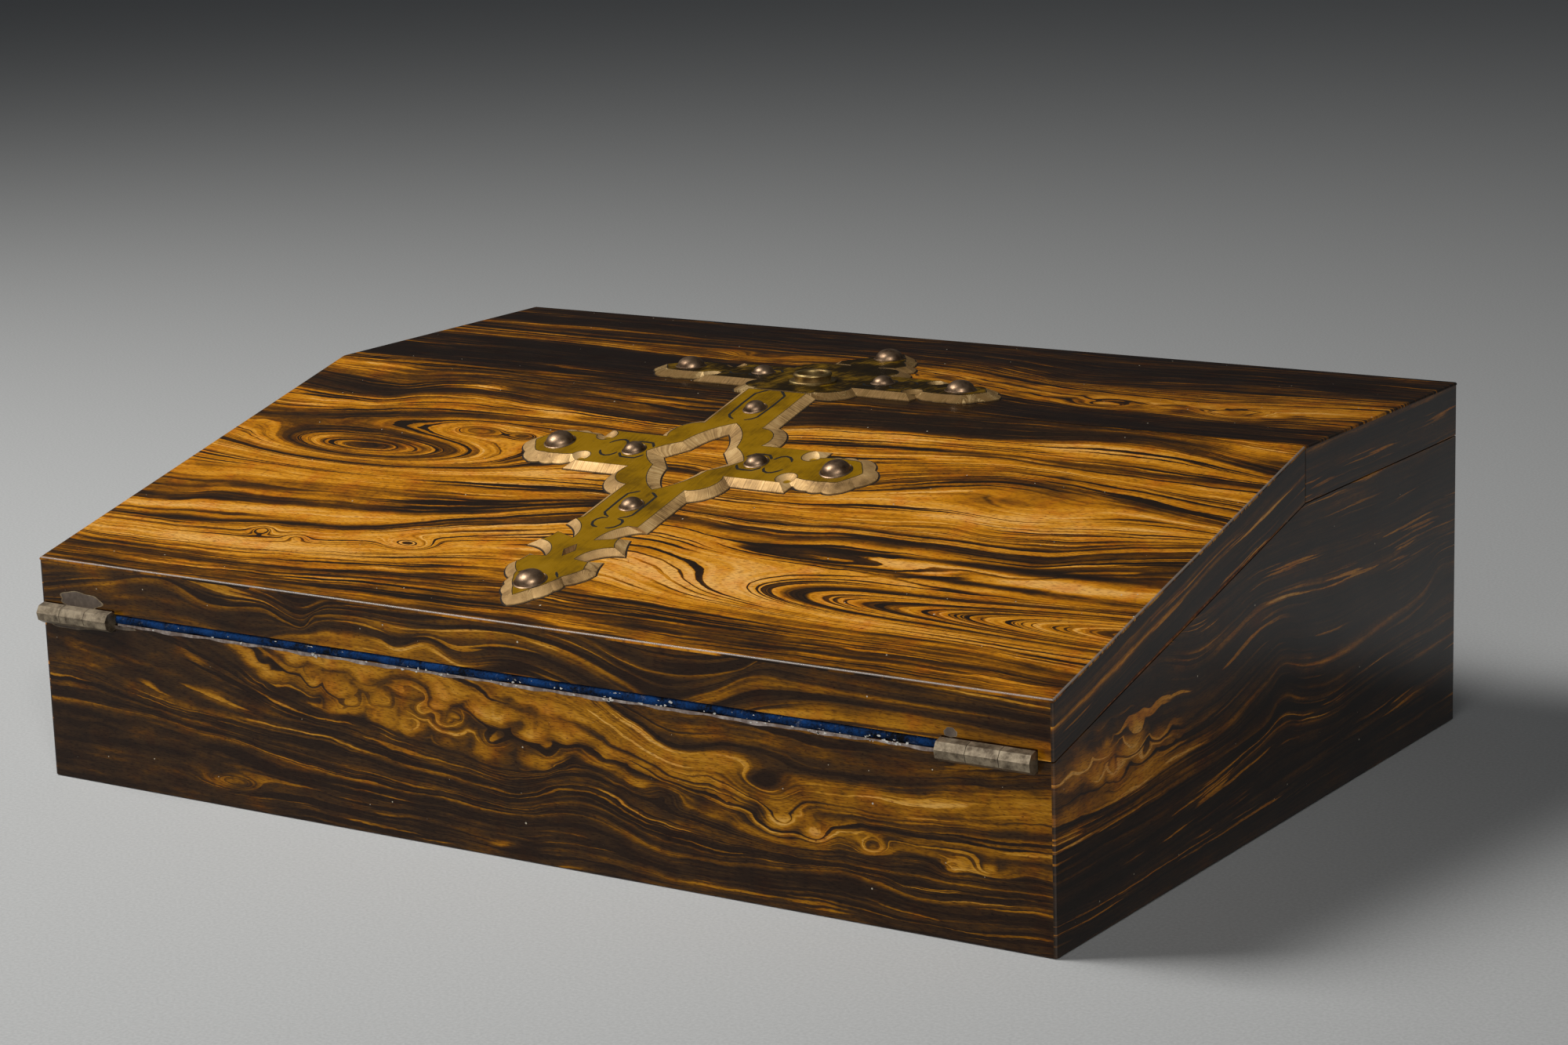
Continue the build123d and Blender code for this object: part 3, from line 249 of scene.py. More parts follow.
@dataclass(frozen=True)
class Veneer:
    """Coromandel veneer under french polish, cut for one face.

    Coromandel is a dark brown ebony with honey-coloured figure. The figure is drawn on a field,
    the level in the log, which runs evenly from one guide line to the next and is bent by waves
    and by hills where knots lie, so its lines run round the knots. Thin dark lines and broad
    streaks follow it. The polish gives it a clear gloss. Along the arrises a pale colour is mixed
    in: partly polish rubbed thin, partly a painted reflection on the rounded edges.

    guides has, for each level that a line of grain shows, the points that it passes. These are
    (along, across) in millimetres on the face. bands are (level, lightness) pairs.
    """

    name: str
    along: Triple
    across: Triple
    start: Pair
    seed: float
    bands: Sequence[Pair]
    guides: dict[float, Sequence[Pair]]
    eyes: Sequence[Swell] = ()
    shades: Sequence[Swell] = ()
    burls: Sequence[Swell] = ()
    length: float = 400.0
    wave: float = 2.6
    contrast: float = 1.0
    sweep: float = 0.6
    mottle: float = 0.4
    lines: float = 0.5
    bars: float = 0.5
    threads: float = 0.3
    # share of the pale arris colour: rubbed polish with a painted reflection
    arris_wear_and_reflection: float = 0.1
    gloss: float = 0.22
    # the pale arris colour: rubbed polish with a painted reflection
    worn_polish_reflection: str = "#8f857c"
    dust: str = "#b3a892"
    light: Sequence[tuple[float, str]] = (
        (0.0, "#1c1107"), (0.2, "#301d0a"), (0.36, "#523000"), (0.5, "#8b5500"), (0.64, "#b67300"),
        (0.8, "#cc8a22"), (1.0, "#dba250"),
    )

    def paint(self, tree: Tree, position: Socket) -> None:
        """Builds the material, from the grain to the polish."""
        place, field, burr = self.grain(tree, position)
        tone = self.tone(tree, place, field, burr)
        colour = add(tree, "ValToRGB", (tone,), stops=self.light)
        colour = self.pores(tree, place, colour)
        colour, dust = self.specks(tree, place, colour)
        # pale arrises: rubbed polish with a painted reflection
        inputs = {"Factor": self.arris(tree), UNDER: colour, OVER: linear(self.worn_polish_reflection)}
        colour = add(tree, "Mix", inputs, MIXED, data_type="RGBA")
        waviness = add(tree, "TexNoise", {"Vector": place, "Scale": 0.045, "Detail": 1.0, "Roughness": 0.4})
        bump = add(tree, "Bump", {"Strength": 0.3, "Distance": 0.00025, "Height": waviness})
        rough = add(tree, "MapRange", {"Value": waviness, "To Min": 0.3, "To Max": 0.44})
        rough = add(tree, "Math", (dust, 0.4, rough), operation="MULTIPLY_ADD")
        surface(
            tree, Base_Color=colour, Roughness=rough, Specular_IOR_Level=0.06, Coat_Weight=self.gloss,
            Coat_Roughness=0.06, Coat_IOR=1.5, Normal=bump,
        )

    def arris(self, tree: Tree) -> Socket:
        """Where the rounded edges lie, which get rubbed polish and a painted reflection: faces turned
        20 to 65 degrees from the face's own direction.
        """
        out = Vector(self.along).cross(Vector(self.across)).normalized()
        normal = add(tree, "TexCoord", output="Normal")
        facing = add(tree, "VectorMath", (normal, tuple(out)), "Value", operation="DOT_PRODUCT")
        facing = add(tree, "Math", (facing,), operation="ABSOLUTE")
        stops = [(0.2, 0.0), (0.45, self.arris_wear_and_reflection), (0.88, self.arris_wear_and_reflection), (0.97, 0.0)]
        return add(tree, "ValToRGB", (facing,), stops=stops)

    def grain(self, tree: Tree, position: Socket) -> tuple[Socket, Socket, Socket | None]:
        """Place on the face in millimetres, and the level in the log there.

        Returns:
            The place as a vector, the field as a value, and the burr eyes, if the face has any.
        """
        measures = []
        for direction, start in ((self.along, self.start[0]), (self.across, self.start[1])):
            axis = tuple(1000 * part for part in direction)
            dot = add(tree, "VectorMath", (position, axis), "Value", operation="DOT_PRODUCT")
            measures.append(add(tree, "Math", (dot, start), operation="ADD"))
        place = add(tree, "CombineXYZ", (measures[0], measures[1], 0.0))
        field = measures[1]
        waves = ((70.0, 26.0, 2.0, 1.0, 1.5), (22.0, 9.0, 0.9, 2.0, 1.5), (6.0, 2.6, 0.3, 3.0, 3.0))
        for length, breadth, height, turn, detail in waves:
            scale = (1 / length, 1 / breadth, 1.0)
            shift = (self.seed * turn, self.seed * 1.7 * turn, self.seed)
            noise = drawn_out(tree, place, scale, shift, Detail=detail, Roughness=0.55)
            field = swayed(tree, field, noise, height * self.wave)
        if self.guides:
            field = self.guided(tree, measures[0], field)
        field = hills(tree, place, self.eyes, field)
        if not self.burls:
            return place, field, None
        burr = self.bubbles(tree, place)
        field = add(tree, "Math", (burr, 5.0, field), operation="MULTIPLY_ADD")
        return place, field, burr

    def guided(self, tree: Tree, along: Socket, across: Socket) -> Socket:
        """Level between the guides: the sum, over each pair, of the share of its gap already crossed."""
        reach, room, base = 200.0, 0.6, 0.2  # the curves' heights hold 200 mm, from 0.2 to 0.8
        share = add(tree, "Math", (along, self.length), operation="DIVIDE")
        side = add(tree, "Math", (across, reach), operation="DIVIDE")
        curves = []
        for line in self.guides.values():
            points = [(x / self.length, base + room * y / reach) for x, y in line]
            curves.append(add(tree, "FloatCurve", {"Value": share}, points=points))
        side = add(tree, "Math", (side, room, base), operation="MULTIPLY_ADD")
        levels = list(self.guides)
        total: Socket | float = levels[0]
        for low, high, below, above in zip(levels, levels[1:], curves, curves[1:]):
            inputs = {"Value": side, "From Min": below, "From Max": above, "To Max": high - low}
            total = add(tree, "Math", (total, add(tree, "MapRange", inputs)), operation="ADD")
        return total

    def bubbles(self, tree: Tree, place: Socket) -> Socket:
        """Small burr eyes, about 9 mm apart, where the burls lie: 0.5 in an eye, below 0 between them."""
        twist = add(tree, "TexNoise", {"Vector": place, "Scale": 0.09, "Detail": 1.0}, "Color")
        bent = add(tree, "VectorMath", (twist, (9.0, 7.0, 0.0), place), operation="MULTIPLY_ADD")
        inputs = {"Vector": bent, "Scale": (0.085, 0.15, 1.0), "Location": (self.seed, 0.0, 0.0)}
        squeezed = add(tree, "Mapping", inputs)
        cells = add(
            tree, "TexVoronoi", {"Vector": squeezed, "Scale": 1.0, "Smoothness": 0.2}, "Distance",
            feature="SMOOTH_F1", voronoi_dimensions="2D",
        )
        mask = hills(tree, place, self.burls, 0.0)
        lift = add(tree, "Math", (0.5, cells), operation="SUBTRACT")
        return add(tree, "Math", (lift, mask), operation="MULTIPLY")

    def tone(self, tree: Tree, place: Socket, field: Socket, burr: Socket | None) -> Socket:
        """Lightness of the wood: bands by level, shades laid over them, streaks and thin dark lines."""
        span = 200.0
        share = add(tree, "Math", (field, span), operation="DIVIDE")
        stops = [(across / span, level) for across, level in self.bands]
        band = add(tree, "ValToRGB", (share,), stops=stops)
        if burr:
            band = add(tree, "Math", (burr, 0.7, band), operation="MULTIPLY_ADD")
        level = hills(tree, place, self.shades, band)
        where = add(tree, "SeparateXYZ", (place,), "X")
        spread = add(tree, "Mapping", {"Vector": place, "Scale": (1 / 18.0, 1 / 6.0, 1.0)})
        inputs = {"Vector": spread, "Scale": 1.0, "Detail": 5.0, "Roughness": 0.66}
        cloud = add(tree, "TexNoise", inputs, noise_dimensions="2D")
        level = swayed(tree, level, cloud, self.mottle)
        streaks = (
            (200.0, 8.0, 3.0, 0.6, self.sweep), (90.0, 2.2, 2.0, 0.55, 0.42), (34.0, 0.85, 1.0, 0.5, 0.34)
        )
        for length, breadth, detail, roughness, gain in streaks:
            noise = self.along_field(tree, where, field, (length, breadth), detail, roughness)
            level = swayed(tree, level, noise, gain * self.contrast)
        lines = (
            (110.0, 1.25, 0.53, 0.62, 150.0, 7.0, 0.9 * self.lines),
            (170.0, 3.4, 0.58, 0.64, 130.0, 16.0, self.bars),
            (50.0, 1.3, 0.6, 0.68, 120.0, 8.0, -self.threads),
        )
        for length, breadth, low, high, group_length, group, strength in lines:
            noise = self.along_field(tree, where, field, (length, breadth), 1.0, 0.5)
            inputs = {"Value": noise, "From Min": low, "From Max": high, "To Max": -strength}
            line = add(tree, "MapRange", inputs, interpolation_type="SMOOTHSTEP")
            crowd = self.along_field(tree, where, field, (group_length, group), 1.0, 0.5)
            inputs = {"Value": crowd, "From Min": 0.42, "From Max": 0.62, "To Min": 0.12}
            share = add(tree, "MapRange", inputs, interpolation_type="SMOOTHSTEP")
            level = add(tree, "Math", (line, share, level), operation="MULTIPLY_ADD")
        return level

    def along_field(
        self, tree: Tree, where: Socket, field: Socket, size: Pair, detail: float, roughness: float
    ) -> Socket:
        """Noise drawn out along the grain: its size is in millimetres along it and across it."""
        run = add(tree, "Math", (where, 1 / size[0], self.seed), operation="MULTIPLY_ADD")
        side = add(tree, "Math", (field, size[1]), operation="DIVIDE")
        vector = add(tree, "CombineXYZ", (run, side, 0.0))
        inputs = {"Vector": vector, "Scale": 1.0, "Detail": detail, "Roughness": roughness}
        return add(tree, "TexNoise", inputs, noise_dimensions="2D")

    def pores(self, tree: Tree, place: Socket, colour: Socket) -> Socket:
        """Rusty clouds, and pores along the grain, about 2 mm long and drawn wide so that they show."""
        cloud = add(tree, "TexNoise", {"Vector": place, "Scale": 0.09, "Detail": 3.0, "Roughness": 0.6})
        fine = drawn_out(tree, place, (1 / 2.4, 1 / 0.36, 1.0), Detail=1.0)
        coarse = drawn_out(tree, place, (1 / 1.6, 1 / 0.9, 1.0), Detail=1.0)
        for noise, low, high, strength, shade in (
            (cloud, 0.48, 0.7, 0.45, "#e9a94e"), (fine, 0.5, 0.68, 0.55, "#5a3207"),
            (coarse, 0.68, 0.76, 0.65, "#8a4310"),
        ):
            inputs = {"Value": noise, "From Min": low, "From Max": high, "To Max": strength}
            inputs = {"Factor": add(tree, "MapRange", inputs), UNDER: colour, OVER: linear(shade)}
            colour = add(tree, "Mix", inputs, MIXED, data_type="RGBA", blend_type="MULTIPLY")
        return colour

    def specks(self, tree: Tree, place: Socket, colour: Socket) -> tuple[Socket, Socket]:
        """Sparse pale specks of dust and wax, about half a millimetre across.

        Returns:
            The colour with the specks in it, and where they are.
        """
        cell = 13.0
        inputs = {"Vector": place, "Scale": 1 / cell}
        distance = add(tree, "TexVoronoi", inputs, "Distance", voronoi_dimensions="2D")
        chance = add(tree, "TexVoronoi", inputs, "Color", voronoi_dimensions="2D")
        inputs = {"Value": chance, "From Min": 0.6, "From Max": 1.0, "To Max": 0.36 / cell}
        speck = add(tree, "Math", (distance, add(tree, "MapRange", inputs)), operation="LESS_THAN")
        inputs = {"Factor": speck, UNDER: colour, OVER: linear(self.dust)}
        return add(tree, "Mix", inputs, MIXED, data_type="RGBA"), speck


SLOPE_UP = (0.0, 1 / math.cos(SIZES.angle), 0.0)
DEPTH_START = -SIZES.front

BROWN_LIGHT = (
    (0.0, "#25170c"), (0.2, "#3a2611"), (0.36, "#583708"), (0.5, "#855503"), (0.64, "#a66f0c"),
    (0.8, "#bc8426"), (1.0, "#cf9c4a"),
)

SLOPE_FIGURE = Veneer(
    name="coromandel_slope_lid", along=LENGTHWISE, across=SLOPE_UP,
    start=(SIZES.half_width, -SIZES.front / math.cos(SIZES.angle)), seed=3.1, sweep=0.45, lines=0.8,
    # a strong pale arris on the slope lid: rubbed polish with a painted reflection
    bars=0.2, arris_wear_and_reflection=0.8,
    guides={
        0: ((0, -2), (400, -2)),
        20: ((0, 13), (80, 12.5), (120, 17), (160, 21.5), (210, 24), (300, 22), (340, 22.5), (400, 15)),
        28: (
            (0, 21), (50, 19.5), (80, 20.5), (120, 25), (160, 31), (205, 35), (255, 28.5), (340, 28),
            (400, 23.5),
        ),
        60: (
            (0, 38), (30, 39), (60, 41.5), (90, 44), (110, 49), (130, 57), (150, 64), (170, 71), (190, 77),
            (215, 81), (250, 77), (290, 81), (350, 80), (370, 86), (400, 94),
        ),
        70: (
            (0, 48), (20, 50), (32, 54), (60, 55), (85, 58), (110, 58.5), (130, 62), (150, 68), (180, 79),
            (215, 84), (250, 81), (290, 84), (350, 84), (370, 90), (400, 98),
        ),
        88: (
            (0, 90), (150, 92), (215, 89), (250, 88), (290, 91), (310, 95), (330, 93), (365, 97), (400, 102)
        ),
        108: (
            (0, 105), (60, 111), (180, 112), (240, 107), (280, 119), (300, 126), (320, 128), (355, 123),
            (400, 113),
        ),
        130: (
            (0, 119), (20, 121), (50, 126), (90, 133), (120, 134), (175, 133), (240, 139), (300, 143),
            (350, 141), (400, 139),
        ),
        150: (
            (0, 149), (40, 143), (62, 152), (80, 154), (110, 151), (180, 145), (240, 155), (300, 158),
            (345, 163), (400, 152),
        ),
        172: ((0, 174), (400, 174)),
    },
    bands=(
        (0, 0.34), (6, 0.5), (10, 0.3), (16, 0.46), (20, 0.28), (22, 0.58), (26, 0.5), (30, 0.72),
        (44, 0.76), (54, 0.7), (57, 0.42), (60, 0.1), (62, 0.66), (68, 0.74), (70, 0.22), (73, 0.52),
        (82, 0.62), (90, 0.7), (104, 0.72), (108, 0.26), (111, 0.56), (122, 0.68), (128, 0.6), (131, 0.24),
        (135, 0.56), (144, 0.58), (149, 0.14), (154, 0.18), (160, 0.36), (166, 0.3), (172, 0.42),
    ),
    eyes=(
        Swell(66, 103, 55, 13, 47, 0, 0.6), Swell(101, 123, 12, 5, -11, 0, 0.5), Swell(121, 123, 7, 3.5, -7),
        Swell(133, 40, 10, 4.2, 14, 0, 0.5), Swell(71, 37, 4.5, 3, -9), Swell(88, 35, 5, 3, -6),
        Swell(440, 41, 112, 10.5, 84, 1.5), Swell(300, 41, 40, 14, 14), Swell(284, 63, 30, 4, 4),
        Swell(330, 109, 34, 10, 6, 0, 0.3),
    ),
    shades=(
        Swell(68, 107, 15, 5, -0.3), Swell(40, 75, 46, 9, 0.16), Swell(150, 98, 26, 8, 0.2),
        Swell(60, 50, 90, 5, 0.12, 4), Swell(60, 27, 90, 5, 0.14, 2), Swell(232, 42, 34, 11, 0.4, -6),
        Swell(320, 102, 50, 6, 0.22), Swell(250, 148, 50, 6.5, 0.34), Swell(250, 164, 110, 6.5, -0.3),
        Swell(80, 157, 8, 1.8, 0.6), Swell(122, 142, 12, 2.4, 0.45), Swell(150, 156, 60, 8, 0.16),
        Swell(10, 166, 34, 5, 0.34), Swell(385, 163, 30, 9, 0.36), Swell(335, 155, 24, 8, 0.25),
        Swell(352, 64.5, 46, 3.2, 0.6, -1), Swell(335, 59.5, 70, 1.7, -0.65, -1),
        Swell(330, 70.5, 64, 1.5, -0.55, 1), Swell(385, 74, 50, 5, -0.3, 8), Swell(240, 98, 40, 6, -0.2),
        Swell(315, 112, 12, 5, -0.25), Swell(190, 82, 14, 6, -0.5),
    ),
)

BACK_FIGURE = Veneer(
    name="coromandel_back_lid", along=LENGTHWISE, across=DEPTHWISE, start=(SIZES.half_width, -SIZES.ridge),
    seed=7.7, gloss=0.13,
    guides={
        0: ((0, -4), (400, -4)),
        40: (
            (0, 56), (60, 56), (110, 50), (150, 48), (200, 50), (240, 42), (265, 36), (285, 30), (330, 26),
            (400, 30),
        ),
        62: (
            (0, 74), (100, 72), (200, 74), (230, 72), (260, 62), (275, 58), (300, 54), (335, 52), (360, 60),
            (400, 68),
        ),
        80: (
            (0, 90), (60, 92), (120, 88), (180, 85), (230, 82), (260, 72), (275, 66), (300, 70), (330, 76),
            (400, 80),
        ),
        122: ((0, 124), (400, 124)),
    },
    bands=(
        (0, 0.26), (6, 0.2), (16, 0.1), (30, 0.14), (38, 0.16), (43, 0.48), (52, 0.54), (60, 0.5),
        (62, 0.16), (65, 0.42), (74, 0.44), (80, 0.24), (86, 0.14), (100, 0.12), (110, 0.2), (122, 0.12),
    ),
    eyes=(Swell(357, 37, 12, 7, 11), Swell(307, 34, 10, 5, 8), Swell(150, 62, 16, 6, 8)),
    shades=(
        Swell(350, 46, 60, 13, 0.2), Swell(90, 60, 110, 60, -0.15), Swell(390, 62, 26, 8, 0.2),
        Swell(160, 66, 40, 8, 0.12), Swell(10, 4, 30, 5, 0.4), Swell(100, 3, 40, 3, 0.2),
        Swell(390, 0, 40, 3.5, 0.35),
    ),
    burls=(Swell(330, 40, 60, 10, 0.8), Swell(200, 54, 70, 8, 0.6)),
)

FRONT_FIGURE = Veneer(
    name="coromandel_case_front", along=LENGTHWISE, across=UPWARDS, start=(SIZES.half_width, 0.0), seed=11.3,
    contrast=1.0, sweep=0.3, threads=0.4, mottle=0.6, lines=0.5, bars=0.15, wave=3.2, light=BROWN_LIGHT,
    guides={
        0: ((0, -2), (400, -2)),
        14: (
            (0, 30), (40, 27), (80, 22.5), (120, 19.5), (160, 18.5), (200, 16), (230, 19), (268, 12),
            (300, 14), (325, 15.5), (360, 12.5), (400, 13.5),
        ),
        26: (
            (0, 42), (25, 40), (45, 35.5), (80, 31), (120, 30.5), (160, 27.5), (200, 22), (230, 28),
            (260, 21), (300, 18), (400, 18),
        ),
        38: (
            (0, 72), (40, 66), (80, 57), (98, 48), (120, 41.5), (150, 39), (180, 34), (205, 30), (230, 36),
            (255, 29), (285, 25), (310, 21), (350, 22.5), (400, 21),
        ),
        58: (
            (0, 110), (150, 100), (225, 68), (250, 54), (270, 46.5), (290, 48.5), (320, 45.5), (345, 46),
            (370, 50), (400, 54),
        ),
        72: ((0, 130), (150, 110), (225, 84), (250, 72), (400, 72)),
    },
    bands=(
        (0, 0.14), (5, 0.2), (9, 0.12), (12.9, 0.12), (14, 0.52), (15, 0.12), (18, 0.12), (19, 0.36),
        (20, 0.12), (25, 0.14), (26.2, 0.46), (27.6, 0.16), (34, 0.2), (37.6, 0.12), (39.5, 0.52), (42, 0.3),
        (42.8, 0.56), (46, 0.6), (47, 0.34), (48.2, 0.6), (52, 0.54), (56, 0.52), (58, 0.1), (60, 0.4),
        (62, 0.2), (64, 0.42), (66, 0.3), (72, 0.4),
    ),
    eyes=(
        Swell(162, 51, 9, 5.5, -3), Swell(186, 46, 8, 5, -2), Swell(303, 28.5, 9, 6, 6),
        Swell(317, 26.5, 5, 3.5, 5), Swell(338, 24.5, 6, 3.5, 5), Swell(378, 24, 6, 3, 4),
        Swell(365, 21.5, 5, 2.6, 5), Swell(298, 39.5, 11, 5, 7, 0, 0.3), Swell(262, 30, 8, 4, -5),
        Swell(84, 9, 11, 2.6, 6),
    ),
    shades=(
        # Swell(350, 36, 70, 14, -0.1) darkens the front's right end: painted shade where the light falls off
        Swell(120, 51, 34, 6, 0.14, -9), Swell(350, 36, 70, 14, -0.1), Swell(298, 39.5, 9, 4, -0.28),
        Swell(84, 9.5, 11, 2, 0.5, 6), Swell(105, 38, 8, 3, 0.3), Swell(303, 27, 5, 2.6, 0.3),
        Swell(318, 25.5, 5, 2.2, 0.3), Swell(338, 24, 6, 2.4, 0.34), Swell(366, 21.5, 4.5, 2, 0.3),
        Swell(378, 23.5, 4.5, 1.8, 0.3), Swell(197, 4.5, 6, 1.4, 0.45, 12), Swell(20, 46, 16, 4, 0.25, -16),
        Swell(66, 53, 10, 2.5, 0.34, -32), Swell(300, 52, 60, 3, 0.12), Swell(60, 15, 120, 12, 0.05),
    ),
    burls=(Swell(130, 46, 34, 8, 0.7, -9), Swell(200, 43, 46, 9, 1, -6), Swell(300, 29, 60, 6, 0.6, -4)),
)

FRONT_STRIP_FIGURE = Veneer(
    name="coromandel_slope_lid_front", along=LENGTHWISE, across=UPWARDS,
    start=(SIZES.half_width, -SIZES.parting), seed=15.9, wave=1.2, contrast=0.9, lines=0.5, bars=0.2,
    sweep=0.45, threads=0.4, light=BROWN_LIGHT,
    guides={
        0: ((0, -8), (235, -6), (262, -16), (290, -8), (400, -8)),
        6: (
            (0, 3), (60, 5), (95, 1), (110, 5), (118, 6), (130, 8.5), (150, 7.5), (158, 5), (170, 8),
            (184, 3.5), (205, 6.5), (222, 4), (240, -2), (262, -8), (290, 1), (310, 6), (340, 8), (400, 6),
        ),
        11: (
            (0, 8), (30, 13), (55, 17), (80, 10.5), (100, 12), (111, 8.5), (117, 7.2), (124, 12), (140, 13),
            (165, 12), (200, 15), (225, 12), (250, 5), (262, 1), (280, 6), (300, 13), (320, 12), (400, 11),
        ),
        18: (
            (0, 17), (40, 18), (70, 20), (90, 18), (105, 15.5), (117, 12), (130, 16.5), (160, 17.5),
            (205, 20), (230, 18), (250, 12), (265, 10), (290, 14), (305, 20), (350, 18), (400, 16),
        ),
        26: ((0, 26), (400, 26)),
    },
    bands=(
        (0, 0.5), (4.6, 0.6), (6, 0.5), (6.8, 0.16), (8.6, 0.2), (10.2, 0.4), (11, 0.56), (11.9, 0.16),
        (14, 0.2), (15.2, 0.4), (16, 0.18), (18, 0.46), (19, 0.18), (22, 0.34), (26, 0.2),
    ),
    shades=(
        Swell(28, 14, 12, 4, 0.2, -20), Swell(60, 2, 34, 5, -0.2), Swell(255, 4, 20, 5, -0.2),
        Swell(390, 10, 30, 8, -0.2),
    ),
)

SIDE_FIGURE = Veneer(
    name="coromandel_case_right", along=DEPTHWISE, across=UPWARDS, start=(DEPTH_START, 0.0), seed=19.4,
    length=286.0, wave=1.6, contrast=0.7, lines=0.3, gloss=0.6, threads=0.45, sweep=0.5, bars=0.2,
    guides={
        0: ((0, -2), (286, -2)), 13: ((0, 12), (30, 10.5), (80, 11), (140, 13), (200, 15.5), (286, 20)),
        22: (
            (0, 22.5), (40, 22), (80, 23), (100, 25), (130, 30), (150, 33), (165, 30), (185, 27.5),
            (210, 29.5), (286, 32),
        ),
        32: (
            (0, 32), (40, 31.5), (80, 33), (120, 35), (138, 37), (148, 42), (165, 37), (185, 34), (210, 36),
            (240, 37.5), (286, 38),
        ),
        42: (
            (0, 40), (40, 38), (80, 41), (110, 43), (140, 51), (148, 53), (165, 48), (190, 45.5), (230, 48),
            (260, 52), (275, 58), (286, 57),
        ),
        60: ((0, 73), (60, 75), (90, 69), (110, 72), (135, 77), (150, 76), (200, 72), (286, 70)),
        92: ((0, 104), (286, 104)),
    },
    bands=(
        (0, 0.1), (5, 0.26), (6, 0.1), (12.2, 0.1), (13, 0.4), (13.8, 0.1), (20.8, 0.1), (22, 0.5),
        (23.4, 0.1), (26, 0.3), (27, 0.1), (31, 0.12), (32.2, 0.48), (33.6, 0.14), (36, 0.34), (37, 0.12),
        (41, 0.2), (42.4, 0.46), (45, 0.16), (57, 0.08), (60, 0.42), (63, 0.12), (70, 0.2), (80, 0.12),
        (92, 0.2),
    ),
    shades=(
        Swell(30, 52, 34, 8, 0.3, -12), Swell(90, 52, 40, 4, 0.12), Swell(50, 46, 60, 16, 0.16),
        Swell(110, 72, 50, 3.5, 0.3, 4),
    ),
    burls=(Swell(40, 53, 36, 10, 0.9),),
)


PLAIN_SIDE = replace(SIDE_FIGURE, guides={}, burls=())
PLAIN_EDGE = replace(PLAIN_SIDE, across=(0.0, -SIZES.rise, 1.0))
EDGE_START = SIZES.front * SIZES.rise - SIZES.parting

VENEERS: dict[str, Veneer] = {
    "slope_lid_top_veneer": SLOPE_FIGURE, "back_lid_top_veneer": BACK_FIGURE,
    "case_front_veneer": FRONT_FIGURE, "slope_lid_front_veneer": FRONT_STRIP_FIGURE,
    "case_right_veneer": SIDE_FIGURE,
    "slope_lid_right_veneer": replace(
        PLAIN_EDGE, name="coromandel_slope_lid_right", start=(DEPTH_START, EDGE_START + 12.0), seed=23.0,
        shades=(Swell(40, 22, 50, 3, 0.2),),
    ),
    "back_lid_right_veneer": replace(
        PLAIN_SIDE, name="coromandel_back_lid_right", start=(DEPTH_START, -60.0), seed=27.0
    ),
    "case_left_veneer": replace(SIDE_FIGURE, name="coromandel_case_left", seed=31.0, along=(0.0, -1.0, 0.0)),
    "slope_lid_left_veneer": replace(
        PLAIN_EDGE, name="coromandel_slope_lid_left", start=(DEPTH_START, EDGE_START + 4.0), seed=35.0,
        shades=(),
    ),
    "back_lid_left_veneer": replace(
        PLAIN_SIDE, name="coromandel_back_lid_left", start=(DEPTH_START, -72.0), seed=39.0
    ),
    "case_back_veneer": replace(
        FRONT_FIGURE, name="coromandel_case_back", along=(-1.0, 0.0, 0.0), seed=43.0
    ),
    "back_lid_rear_veneer": replace(
        FRONT_STRIP_FIGURE, name="coromandel_back_lid_rear", along=(-1.0, 0.0, 0.0),
        start=(SIZES.half_width, -102.5), seed=47.0,
    ),
}


# Other finishes


@dataclass(frozen=True)
class CabinetWood:
    """Planed and oiled mahogany: red-brown, straight grained, with short dark pores."""

    name: str
    along: Triple
    dark: str = "#3a1509"
    light: str = "#6f2f16"
    pore: str = "#1d0904"
    roughness: float = 0.46

    def paint(self, tree: Tree, position: Socket) -> None:
        """Builds the material: streaks 5 mm apart and pores drawn 0.5 mm wide, both along the grain."""
        streaks = tuple(1000 / (140.0 if part else 5.0) for part in self.along)
        pores = tuple(1000 / (5.0 if part else 0.5) for part in self.along)
        streak = drawn_out(tree, position, streaks, Detail=5.0, Roughness=0.6, Distortion=0.4)
        colour = add(tree, "ValToRGB", (streak,), stops=[(0.3, self.dark), (0.7, self.light)])
        pore = drawn_out(tree, position, pores, Detail=0.0)
        dark = add(tree, "MapRange", {"Value": pore, "From Min": 0.56, "From Max": 0.7, "To Max": 0.55})
        inputs = {"Factor": dark, UNDER: colour, OVER: linear(self.pore)}
        colour = add(tree, "Mix", inputs, MIXED, data_type="RGBA")
        bump = add(tree, "Bump", {"Strength": 0.4, "Distance": 0.0001, "Height": dark}, invert=True)
        surface(tree, Base_Color=colour, Roughness=self.roughness, Normal=bump)


